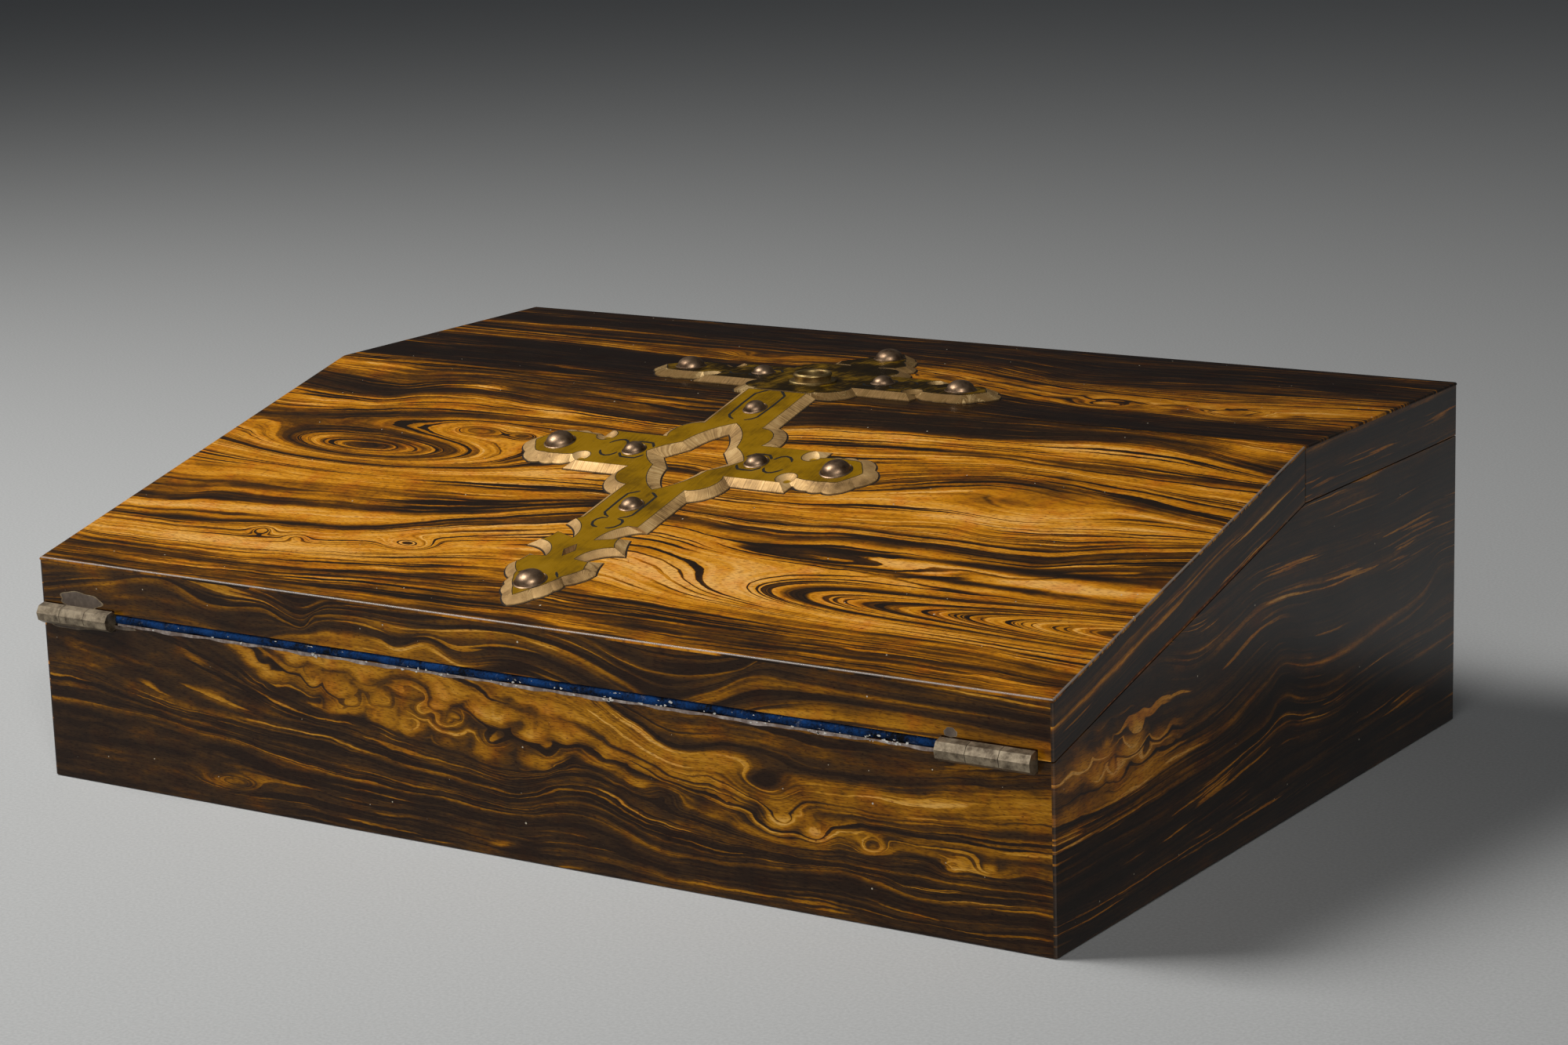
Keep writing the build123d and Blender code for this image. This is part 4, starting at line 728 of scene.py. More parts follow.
@dataclass(frozen=True)
class Pile:
    """Cotton velvet or baize: a short upright pile that is lighter at a glance and brushed in patches."""

    name: str
    deep: str
    raised: str
    tuft: float = 0.5
    sheen: float = 0.6
    worn: str | None = None
    patch: float = 45.0

    def paint(self, tree: Tree, position: Socket) -> None:
        """Builds the material: tufts over brushed patches, with their sizes in millimetres."""
        inputs = {"Vector": position, "Scale": 1000 / self.tuft, "Detail": 2.0, "Roughness": 0.7}
        tufts = add(tree, "TexNoise", inputs)
        patches = add(tree, "TexNoise", {"Vector": position, "Scale": 1000 / self.patch, "Detail": 3.0})
        both = add(tree, "Math", (tufts, 0.6, patches), operation="MULTIPLY_ADD")
        colour = add(tree, "ValToRGB", (both,), stops=[(0.62, self.deep), (0.98, self.raised)])
        if self.worn:
            inputs = {"Vector": position, "Scale": 330.0, "Detail": 4.0, "Roughness": 0.75}
            wear = add(tree, "TexNoise", inputs)
            amount = add(tree, "MapRange", {"Value": wear, "From Min": 0.6, "From Max": 0.72, "To Max": 0.8})
            inputs = {"Factor": amount, UNDER: colour, OVER: linear(self.worn)}
            colour = add(tree, "Mix", inputs, MIXED, data_type="RGBA")
        bump = add(tree, "Bump", {"Strength": 0.9, "Distance": 0.0004, "Height": tufts})
        surface(
            tree, Base_Color=colour, Roughness=0.95, Specular_IOR_Level=0.15, Sheen_Weight=self.sheen,
            Sheen_Roughness=0.35, Sheen_Tint=linear(self.raised), Normal=bump,
        )


@dataclass(frozen=True)
class OldBrass:
    """Cast and filed brass: olive under old lacquer where it is flat, filed bare on its bevels.

    The file left strokes across each bevel, which glint pinkish straw. Grime stays in low places.
    flat is the direction of the faces that kept their lacquer.
    """

    name: str
    flat: Triple
    lacquer: str = "#8e6802"
    dark_lacquer: str = "#634703"
    bright: str = "#b8935e"
    worn_dark: str = "#4c381e"
    grime: str = "#2a1c0c"
    rubbed_lacquer: str = "#98710f"
    worn: str = "#8f6f45"
    glint: str = "#cfae78"
    lacquer_roughness: float = 0.46
    bright_roughness: float = 0.5

    def paint(self, tree: Tree, position: Socket) -> None:
        """Builds the material: file strokes 0.6 mm apart, tarnish in patches of about 15 mm.

        The strokes are noise of the distance along the bevel, which is the position times the
        cross product of the bevel's normal and the flat faces' direction.
        """
        normal = add(tree, "TexCoord", output="Normal")
        facing = add(tree, "VectorMath", (normal, self.flat), "Value", operation="DOT_PRODUCT")
        inputs = {"Value": facing, "From Min": 0.95, "From Max": 0.985}
        flatness = add(tree, "MapRange", inputs, interpolation_type="SMOOTHSTEP")
        edge = add(tree, "VectorMath", (normal, self.flat), operation="CROSS_PRODUCT")
        edge = add(tree, "VectorMath", (edge,), operation="NORMALIZE")
        along = add(tree, "VectorMath", (position, edge), "Value", operation="DOT_PRODUCT")
        inputs = {"W": along, "Scale": 1000 / 0.6, "Detail": 3.0, "Roughness": 0.7}
        stroke = add(tree, "TexNoise", inputs, noise_dimensions="1D")
        brush = drawn_out(tree, position, (1000 / 0.5, 1000 / 9.0, 400.0), Detail=2.0)
        patch = add(tree, "TexNoise", {"Vector": position, "Scale": 70.0, "Detail": 4.0, "Roughness": 0.62})
        shade = add(tree, "Math", (brush, 0.35, patch), operation="MULTIPLY_ADD")
        stops = [(0.45, self.dark_lacquer), (0.7, self.lacquer), (0.95, self.rubbed_lacquer)]
        lacquer = add(tree, "ValToRGB", (shade,), stops=stops)
        worn = add(tree, "Math", (stroke, 0.65, patch), operation="MULTIPLY_ADD")
        worn = add(tree, "Math", (worn, 0.9), operation="MULTIPLY")
        stops = [(0.5, self.worn_dark), (0.64, self.worn), (0.8, self.bright), (0.95, self.glint)]
        bright = add(tree, "ValToRGB", (worn,), stops=stops)
        fine = add(tree, "TexNoise", {"Vector": position, "Scale": 420.0, "Detail": 5.0, "Roughness": 0.7})
        dirt = add(tree, "MapRange", {"Value": fine, "From Min": 0.62, "From Max": 0.8, "To Max": 0.7})
        colour = bright
        for amount, over in ((flatness, lacquer), (dirt, linear(self.grime))):
            inputs = {"Factor": amount, UNDER: colour, OVER: over}
            colour = add(tree, "Mix", inputs, MIXED, data_type="RGBA")
        inputs = {"Value": flatness, "To Min": self.bright_roughness, "To Max": self.lacquer_roughness}
        rough = add(tree, "Math", (dirt, 0.3, add(tree, "MapRange", inputs)), operation="MULTIPLY_ADD")
        dent = add(tree, "TexNoise", {"Vector": position, "Scale": 1000 / 5.0, "Detail": 1.0})
        depth = add(tree, "MapRange", {"Value": flatness, "To Min": 9.0, "To Max": 0.4})
        height = add(tree, "Math", (dent, depth, stroke), operation="MULTIPLY_ADD")
        bump = add(tree, "Bump", {"Strength": 0.3, "Distance": 0.00012, "Height": height})
        surface(tree, Base_Color=colour, Metallic=0.3, Roughness=rough, Specular_IOR_Level=0.1, Normal=bump)


@dataclass(frozen=True)
class Metal:
    """A plain worn metal: one colour clouded by tarnish, fine pits and handling marks."""

    name: str
    clean: str
    tarnish: str
    roughness: float = 0.32
    cloud: float = 6.0
    metal: float = 0.95

    def paint(self, tree: Tree, position: Socket) -> None:
        """Builds the material: clouds of the given size in millimetres, pits of 0.4 mm."""
        inputs = {"Vector": position, "Scale": 1000 / self.cloud, "Detail": 5.0, "Roughness": 0.68}
        cloud = add(tree, "TexNoise", inputs)
        colour = add(tree, "ValToRGB", (cloud,), stops=[(0.36, self.tarnish), (0.62, self.clean)])
        pit = add(tree, "TexNoise", {"Vector": position, "Scale": 2500.0, "Detail": 2.0})
        inputs = {"Value": cloud, "To Min": self.roughness + 0.2, "To Max": self.roughness - 0.08}
        rough = add(tree, "MapRange", inputs)
        bump = add(tree, "Bump", {"Strength": 0.2, "Distance": 0.00008, "Height": pit})
        surface(tree, Base_Color=colour, Metallic=self.metal, Roughness=rough, Normal=bump)


@dataclass(frozen=True)
class Glass:
    """Pressed flint glass of the inkwells: clear, faintly green, with soft ripples."""

    name: str = "flint_glass"
    tint: str = "#dfeee6"

    def paint(self, tree: Tree, position: Socket) -> None:
        """Builds the material: ripples about 12 mm long."""
        ripple = add(tree, "TexNoise", {"Vector": position, "Scale": 85.0})
        bump = add(tree, "Bump", {"Strength": 0.2, "Distance": 0.0003, "Height": ripple})
        clear = {"Base_Color": linear(self.tint), "Roughness": 0.04, "IOR": 1.52}
        surface(tree, **clear, Transmission_Weight=0.92, Normal=bump)


@dataclass(frozen=True)
class Mottled:
    """A dull stain in two shades: dirt and old wax in a scribed line, dirt with painted contact
    shade round a plate's foot, glue, film or paper.

    grains has the scale of the noise and the two shares of it at which the shades stand.
    """

    name: str
    colour: str = "#150d07"
    lighter: str = "#33230f"
    grains: Triple = (500.0, 0.4, 0.75)
    roughness: float = 0.7
    specular: float = 0.3
    detail: float = 3.0

    def paint(self, tree: Tree, position: Socket) -> None:
        """Builds the material: noise of 1 to 2 mm, which runs from one shade to the other."""
        scale, low, high = self.grains
        noise = add(tree, "TexNoise", {"Vector": position, "Scale": scale, "Detail": self.detail})
        colour = add(tree, "ValToRGB", (noise,), stops=[(low, self.colour), (high, self.lighter)])
        surface(tree, Base_Color=colour, Roughness=self.roughness, Specular_IOR_Level=self.specular)


class Finish(Enum):
    """The finishes that several pieces share."""

    MAHOGANY_X = CabinetWood("mahogany_lengthwise", LENGTHWISE)
    MAHOGANY_Y = CabinetWood("mahogany_crosswise", DEPTHWISE)
    VELVET = Pile("writing_velvet", "#091c45", "#0b2558", 0.5, 0.4)
    FOLD_VELVET = Pile("fold_velvet_pile", "#000205", "#043060", 0.9, 0.05, "#5c6068", 7.0)
    BAIZE = Pile("base_baize", "#070b1e", "#141d3c", 0.4, 0.2)
    SLOPE_BRASS = OldBrass("slope_mount_brass", (0.0, -math.sin(SIZES.angle), math.cos(SIZES.angle)))
    # painted shade: the back mount's brass is much darker than the slope mount's, for its grazing light and
    # dark reflection
    BACK_BRASS_PAINTED_SHADE = OldBrass("back_mount_brass_painted_shade", UPWARDS, "#2a1d02", "#191102", "#6d532c")
    DOME_BRASS = Metal("domed_pin_brass", "#9c8064", "#54402f", 0.36, 5.0, 0.9)
    HINGE_BRASS = Metal("hinge_brass", "#a4947b", "#5a4d3d", 0.36, 4.0, 0.8)
    FITTING_BRASS = Metal("fitting_brass", "#c79f56", "#8a6426", 0.3, 9.0)
    NOZZLE_BRASS = Metal("nozzle_brass", "#a8905c", "#6b5230", 0.42, 5.0)
    STEEL = Metal("blued_steel", "#3b3b40", "#141416", 0.4, 3.0)
    GLASS = Glass()
    # dirt with painted contact shade, for the ribbon round a mount's foot
    EDGE_DIRT_AND_SHADE = Mottled("edge_dirt_and_painted_shade")
    OLD_GLUE = Mottled("old_glue", "#6b5c54", "#a79c94")
    LINT = Mottled("lint_flecks", "#a9a49c", "#d6d2c8")
    FILM = Mottled("varnish_film", "#51463d", "#6a5d50")
    FILM_RIM = Mottled("varnish_film_rim", "#6b5b45", "#9b8a6c")
    BARE_EDGE = Mottled("rubbed_edge_wood", "#5e3218", "#9a6038")
    SCRIBED_GRIME = Mottled("scribed_grime", "#0b0702", "#1a1206")
    PAPER = Mottled("studio_paper", "#b3b3b1", "#bfbfbd", (900.0, 0.3, 0.7), 0.9, 0.2, 2.0)


class Shelf:
    """Keeps each finish's material, made once when it is first asked for."""

    def __init__(self) -> None:
        self.made: dict[str, Material] = {}

    def take(self, finish: Finish | Veneer) -> Material:
        """The material of a finish."""
        recipe = finish.value if isinstance(finish, Finish) else finish
        if recipe.name not in self.made:
            self.made[recipe.name] = material = bpy.data.materials.new(recipe.name)
            material.use_nodes = True
            tree = material.node_tree
            tree.nodes.clear()
            recipe.paint(tree, add(tree, "TexCoord", output="Object"))
        return self.made[recipe.name]


# Meshes


def put(obj: Piece, material: Material) -> None:
    """Gives an object one material."""
    obj.data.materials.clear()
    obj.data.materials.append(material)


def new_object(name: str, points: np.ndarray, faces: Sequence[Sequence[int]], smooth: bool = True) -> Piece:
    """Makes a mesh object at the origin from points in metres and faces."""
    mesh = bpy.data.meshes.new(name)
    mesh.from_pydata(points.tolist(), [], [list(face) for face in faces])
    mesh.validate()
    if smooth:
        mesh.shade_smooth()
    else:
        mesh.shade_flat()
    obj = bpy.data.objects.new(name, mesh)
    bpy.context.scene.collection.objects.link(obj)
    return obj


def grid_faces(rows: int, columns: int, close_rows: bool = False, close_columns: bool = False) -> np.ndarray:
    """Quads of a grid of points in row order, its ends joined where asked."""
    row = np.arange(rows if close_rows else rows - 1)[:, None]
    column = np.arange(columns if close_columns else columns - 1)[None, :]
    below, beside = (row + 1) % rows, (column + 1) % columns
    corners = (
        row * columns + column, row * columns + beside, below * columns + beside, below * columns + column
    )
    return np.stack([np.broadcast_to(c, (row.size, column.size)) for c in corners], -1).reshape(-1, 4)


def turned(
    profile: Sequence[Pair], centre: Vector, axis_up: Vector, segments: int = 40
) -> tuple[np.ndarray, np.ndarray]:
    """Carries a (radius, height) profile in millimetres round an axis.

    Each point is the centre plus radius times a turning arm plus height times the axis. The
    profile starts and ends on the axis, or is closed on itself.

    Returns:
        Points in metres and quads.
    """
    up = axis_up.normalized()
    side = up.orthogonal().normalized()
    other = up.cross(side)
    angles = np.linspace(0, 2 * np.pi, segments, endpoint=False)
    arms = np.cos(angles)[:, None] * np.array(side) + np.sin(angles)[:, None] * np.array(other)
    radii, heights = np.array(profile, float).T * MM
    centres = np.array(centre)[None, None] + radii[None, :, None] * arms[:, None]
    points = centres + heights[None, :, None] * np.array(up)[None, None]
    closed = tuple(profile[0]) == tuple(profile[-1])
    count = len(profile) - 1 if closed else len(profile)
    points = points[:, :count]
    faces = grid_faces(segments, count, close_rows=True, close_columns=closed)
    return points.reshape(-1, 3), faces


def ribbon(low: np.ndarray, high: np.ndarray) -> tuple[np.ndarray, np.ndarray]:
    """A strip between two rows of points, with a quad between each two neighbours of a row."""
    return np.stack([low, high], 1).reshape(-1, 3), grid_faces(len(low), 2)


def joined(parts: Iterable[tuple[np.ndarray, np.ndarray]]) -> tuple[np.ndarray, np.ndarray]:
    """Several sets of points and faces as one."""
    points, faces, offset = [], [], 0
    for part_points, part_faces in parts:
        points.append(part_points)
        faces.append(part_faces + offset)
        offset += len(part_points)
    return np.concatenate(points), np.concatenate(faces)


def weld(obj: Piece, distance: float = 1e-6) -> None:
    """Merges doubled points, drops faces without area and points the faces outwards."""
    work = bmesh.new()
    work.from_mesh(obj.data)
    bmesh.ops.remove_doubles(work, verts=work.verts, dist=distance)
    bmesh.ops.dissolve_degenerate(work, dist=distance / 2, edges=work.edges)
    bmesh.ops.recalc_face_normals(work, faces=work.faces)
    work.to_mesh(obj.data)
    work.free()


def softened(node: Piece, sharp: float = 32.0) -> Piece:
    """A copy of a solid's mesh, merged, with its round faces shaded smooth. It stands for the node."""
    copy = bpy.data.objects.new(f"{node.name}_dressed", node.data.copy())
    bpy.context.scene.collection.objects.link(copy)
    weld(copy)
    copy.data.shade_smooth()
    copy.data.set_sharp_from_angle(angle=math.radians(sharp))
    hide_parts(node.name)
    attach(copy, node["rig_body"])
    return copy


# Sub-assemblies


@dataclass
class Carcass:
    """The wooden pieces: veneers on the outside, mahogany, velvet and baize inside."""

    shelf: Shelf
    nodes: dict[str, Piece]
    rounded: tuple[str, ...] = ("pen_tray",)

    def build(self) -> None:
        """Dresses every node of wood and cloth that keeps its solid shape."""
        plain = {
            Finish.MAHOGANY_X: (
                "bottom_board case_front_wall case_back_wall ridge_partition document_flap pen_tray "
                "rack_dividers slope_lid_panel slope_lid_front_rail slope_lid_ridge_rail writing_board "
                "back_lid_panel back_lid_front_rail back_lid_rear_rail"
            ),
            Finish.MAHOGANY_Y: (
                "case_left_wall case_right_wall flap_bearers inkwell_cell_walls slope_lid_side_rails "
                "back_lid_side_rails"
            ),
            Finish.VELVET: "document_flap_velvet writing_board_velvet back_lid_lining",
            Finish.BAIZE: "base_cover",
        }
        dress = {name: finish for finish, names in plain.items() for name in names.split()}
        for name, finish in {**dress, **VENEERS}.items():
            piece = self.nodes[name]
            if name in self.rounded:
                piece = softened(piece, 40.0)
            put(piece, self.shelf.take(finish))
            LOG.info("%s dressed", name)


@dataclass
class StrapMount:
    """One pierced or plain cross of brass with its domed pins, scribed lines and a dark foot ribbon of dirt
    and painted shade.
    """

    name: str
    body: str
    node: str
    studs_node: str
    shelf: Shelf
    nodes: dict[str, Piece]
    origin: Vector
    across: Vector
    finial: Vector
    finish: Finish
    large: Sequence[Pair]
    small: Sequence[Pair]
    scribed: Sequence[Sequence[Pair]]
    large_dome: Pair = (5.0, 3.6)
    small_dome: Pair = (3.7, 2.7)
    line: float = 1.0

    @property
    def up(self) -> Vector:
        """Direction away from the lid."""
        return self.across.cross(self.finial)

    def place(self, x: float, y: float, z: float) -> Vector:
        """A point of the mount's own drawing, in millimetres, in the model's frame."""
        return self.origin + (self.across * x + self.finial * y + self.up * z) * MM

    def build(self) -> None:
        """Dresses the plate and makes its domes, scribed lines, creases and the dark ribbon round its foot:
        dirt with painted shade.
        """
        put(self.nodes[self.node], self.shelf.take(self.finish))
        self.domes()
        self.scribing()
        # the ribbon round the plate's foot: dirt, with painted shade where plate meets wood
        self.edging("foot_dirt_and_shade", 0.0, -1.0, (-0.1, 0.6), 0.04, Finish.EDGE_DIRT_AND_SHADE)
        self.edging("creases", SIZES.mount, 1.0, (-0.2, 0.06), SIZES.mount + 0.02, Finish.SCRIBED_GRIME)
        LOG.info("%s built", self.name)

    def domes(self) -> None:
        """Domed pins: a quarter ellipse turned about each pin's axis, in a shallow ring at its foot."""
        parts = []
        for places, (radius, height) in ((self.large, self.large_dome), (self.small, self.small_dome)):
            angles = np.linspace(0.1, np.pi / 2, 12)
            ring = [(0.0, -0.3), (radius + 0.75, -0.3), (radius + 0.75, 0.1), (radius + 0.4, 0.34)]
            ring += [(radius + 0.12, 0.12)]
            cap = [(float(radius * np.cos(a)), float(0.12 + (height - 0.12) * np.sin(a))) for a in angles]
            profile = ring + cap[:-1] + [(0.0, height)]
            for x, y in places:
                centre = self.place(x, y, SIZES.mount)
                parts.append(turned(profile, centre, self.up, 36))
        obj = new_object(f"{self.name}_domes", *joined(parts))
        weld(obj)
        obj.data.set_sharp_from_angle(angle=math.radians(50))
        put(obj, self.shelf.take(Finish.DOME_BRASS))
        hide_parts(self.studs_node)
        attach(obj, self.body)

    def scribing(self) -> None:
        """Scribed lines: each a flat ribbon that follows its points just above the plate."""
        parts = []
        for run in self.scribed:
            path = np.array(run, float)
            step = np.gradient(path, axis=0)
            step /= np.linalg.norm(step, axis=1, keepdims=True)
            side = np.stack([-step[:, 1], step[:, 0]], 1) * self.line / 2
            taper = np.ones(len(path))
            taper[[0, -1]] = 0.5
            rows = (path + side * taper[:, None], path - side * taper[:, None])
            height = SIZES.mount + 0.03
            points, faces = ribbon(*(np.array([self.place(x, y, height) for x, y in row]) for row in rows))
            corners = points[faces[0]]
            turn = np.cross(corners[1] - corners[0], corners[2] - corners[1]) @ np.array(self.up)
            parts.append((points, faces if turn > 0 else faces[:, ::-1]))
        obj = new_object(f"{self.name}_scribing", *joined(parts), smooth=False)
        put(obj, self.shelf.take(Finish.SCRIBED_GRIME))
        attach(obj, self.body)

    def edging(
        self, part: str, level: float, facing: float, reach: Pair, height: float, finish: Finish
    ) -> None:
        """A thin ribbon along the outline of the plate's faces at one level.

        Args:
            part: Name of the ribbon.
            level: Height of the faces above the lid, in millimetres.
            facing: 1 where the faces look up, -1 where they look down.
            reach: How far the ribbon goes inside and outside the outline, in millimetres.
            height: Height of the ribbon above the lid, in millimetres.
            finish: What it is made of.
        """
        mesh = self.nodes[self.node].data
        points = np.array([v.co for v in mesh.vertices], float)
        local = (points - np.array(self.origin)) / MM
        flat = np.stack([local @ np.array(self.across), local @ np.array(self.finial)], 1)
        same, tiny = 0.03, 1e-9
        near = np.abs(local @ np.array(self.up) - level) < same
        keys: dict[tuple[float, ...], int] = {}
        index = np.array([keys.setdefault(key, len(keys)) for key in map(tuple, np.round(flat, 3))])
        outline = np.array(list(keys), float)
        seen: set[tuple[int, int]] = set()
        for face in mesh.polygons:
            corners = list(face.vertices)
            if not all(near[c] for c in corners):
                continue
            ids = [int(index[c]) for c in corners]
            seen.update(zip(ids, ids[1:] + ids[:1]))
        edges = [(a, b) for a, b in seen if (b, a) not in seen and a != b]
        outward = np.zeros_like(outline)
        for a, b in edges:
            along = outline[b] - outline[a]
            normal = facing * np.array([along[1], -along[0]]) / (np.linalg.norm(along) + tiny)
            outward[a] += normal
            outward[b] += normal
        outward /= np.linalg.norm(outward, axis=1, keepdims=True) + tiny
        ring = np.concatenate([outline + outward * reach[0], outline + outward * reach[1]])
        count = len(outline)
        faces = [(a, b, b + count, a + count)[:: -int(facing)] for a, b in edges]
        world = np.array([self.place(x, y, height) for x, y in ring])
        obj = new_object(f"{self.name}_{part}", world, faces, smooth=False)
        loose = bmesh.new()
        loose.from_mesh(obj.data)
        bmesh.ops.delete(loose, geom=[v for v in loose.verts if not v.link_faces], context="VERTS")
        loose.to_mesh(obj.data)
        loose.free()
        put(obj, self.shelf.take(finish))
        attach(obj, self.body)


@dataclass
class KeyholeNozzle:
    """The round nozzle that guards the keyhole, with the steel barrel inside it."""

    shelf: Shelf
    nodes: dict[str, Piece]
    y: float = 41.5
    low: float = 114.3
    face: float = 123.5
    rim: float = 126.9
    outer: float = 6.9
    inner: float = 5.2
    flange: float = 8.4
    roll: float = 0.85

    def build(self) -> None:
        """Turns the nozzle: flange, neck, rolled rim and bore as one closed profile."""
        angles = np.linspace(0, np.pi, 9)
        middle = np.array([self.outer - self.roll, self.rim - self.roll])
        roll = middle + self.roll * np.stack([np.cos(angles), np.sin(angles)], -1)
        profile = [
            (self.inner, self.low), (self.outer, self.low), (self.outer, self.face - 0.3),
            (self.flange, self.face - 0.3), (self.flange, self.face + 0.5),
            (self.flange - 0.3, self.face + 0.8), (self.outer - 0.3, self.face + 0.9),
            (self.outer - 0.35, self.rim - 1.4), *map(tuple, roll), (self.inner, self.rim - 1.2),
            (self.inner, self.low),
        ]
        centre = Vector((0.0, self.y, 0.0)) * MM
        obj = new_object("keyhole_nozzle", *turned(profile, centre, Vector(UPWARDS), 64))
        weld(obj)
        obj.data.set_sharp_from_angle(angle=math.radians(40))
        put(obj, self.shelf.take(Finish.NOZZLE_BRASS))
        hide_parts("lock_nozzle")
        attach(obj, "back_lid")
        put(softened(self.nodes["lock_barrel"]), self.shelf.take(Finish.STEEL))
        LOG.info("keyhole nozzle built")


@dataclass
class Fittings:
    """Hinges, lock, screws, keeps and inkwells, which keep their solid shapes."""

    shelf: Shelf
    nodes: dict[str, Piece]

    def build(self) -> None:
        """Dresses each node, with round ones shaded smooth."""
        plain = {
            Finish.HINGE_BRASS: "case_hinge_leaves front_hinge_lid_leaves rear_hinge_lid_leaves hinge_pins",
            Finish.FITTING_BRASS: (
                "lock_case lock_bolt partition_keep slope_lid_keep case_hinge_screws "
                "slope_lid_hinge_screws back_lid_screws inkwell_cap_pins"
            ),
        }
        for finish, names in plain.items():
            for name in names.split():
                put(self.nodes[name], self.shelf.take(finish))
        for name in ("inkwell_collars", "inkwell_cap_left", "inkwell_cap_right"):
            put(softened(self.nodes[name]), self.shelf.take(Finish.FITTING_BRASS))
        put(softened(self.nodes["inkwell_bottles"]), self.shelf.take(Finish.GLASS))
        LOG.info("fittings dressed")


@dataclass
class FoldVelvet:
    """The strip of velvet that bridges the fold between the front hinges."""

    shelf: Shelf
    low_x: float = -165.5
    high_x: float = 161.5
    columns: int = 220
    deep: float = 8.6
    near: float = 1.6
    half: float = 0.95
    cloth: float = 0.7

    def build(self) -> None:
        """Carries the strip's section along the fold.

        The section runs forwards over the case's edge, turns round in the gap and runs back under
        the lid. Small sine waves of three lengths pull its turn in and out, so it looks worn.
        """
        cos, sin = math.cos(SIZES.angle), math.sin(SIZES.angle)
        lower = [(t, -self.half) for t in np.linspace(self.deep, self.near, 6)]
        angles = np.linspace(0.25, math.pi - 0.25, 9)
        bend = [(self.near - 1.15 * math.sin(a), -self.half * math.cos(a)) for a in angles]
        upper = [(t, self.half) for t in np.linspace(self.near, self.deep, 6)]
        section = np.array(lower + bend + upper)
        x = np.linspace(self.low_x, self.high_x, self.columns)
        ripple = 0.16 * np.sin(x / 3.1) + 0.11 * np.sin(x / 1.7 + 1.3) + 0.16 * np.sin(x / 11.0 + 0.4)
        turn = np.exp(-(((section[:, 0] - 0.5) / 1.2) ** 2))
        depth = section[None, :, 0] + ripple[:, None] * turn[None, :]
        rise = section[None, :, 1] + 0.12 * np.sin(x / 5.3)[:, None] * turn[None, :]
        y = SIZES.front + depth * cos - rise * sin
        z = SIZES.parting + depth * sin + rise * cos
        points = np.stack([np.broadcast_to(x[:, None], y.shape), y, z], -1) * MM
        obj = new_object("fold_velvet_strip", points.reshape(-1, 3), grid_faces(*y.shape))
        solid = obj.modifiers.new("cloth thickness", "SOLIDIFY")
        solid.thickness, solid.offset = self.cloth * MM, -1.0
        put(obj, self.shelf.take(Finish.FOLD_VELVET))
        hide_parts("fold_velvet")
        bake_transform(obj)


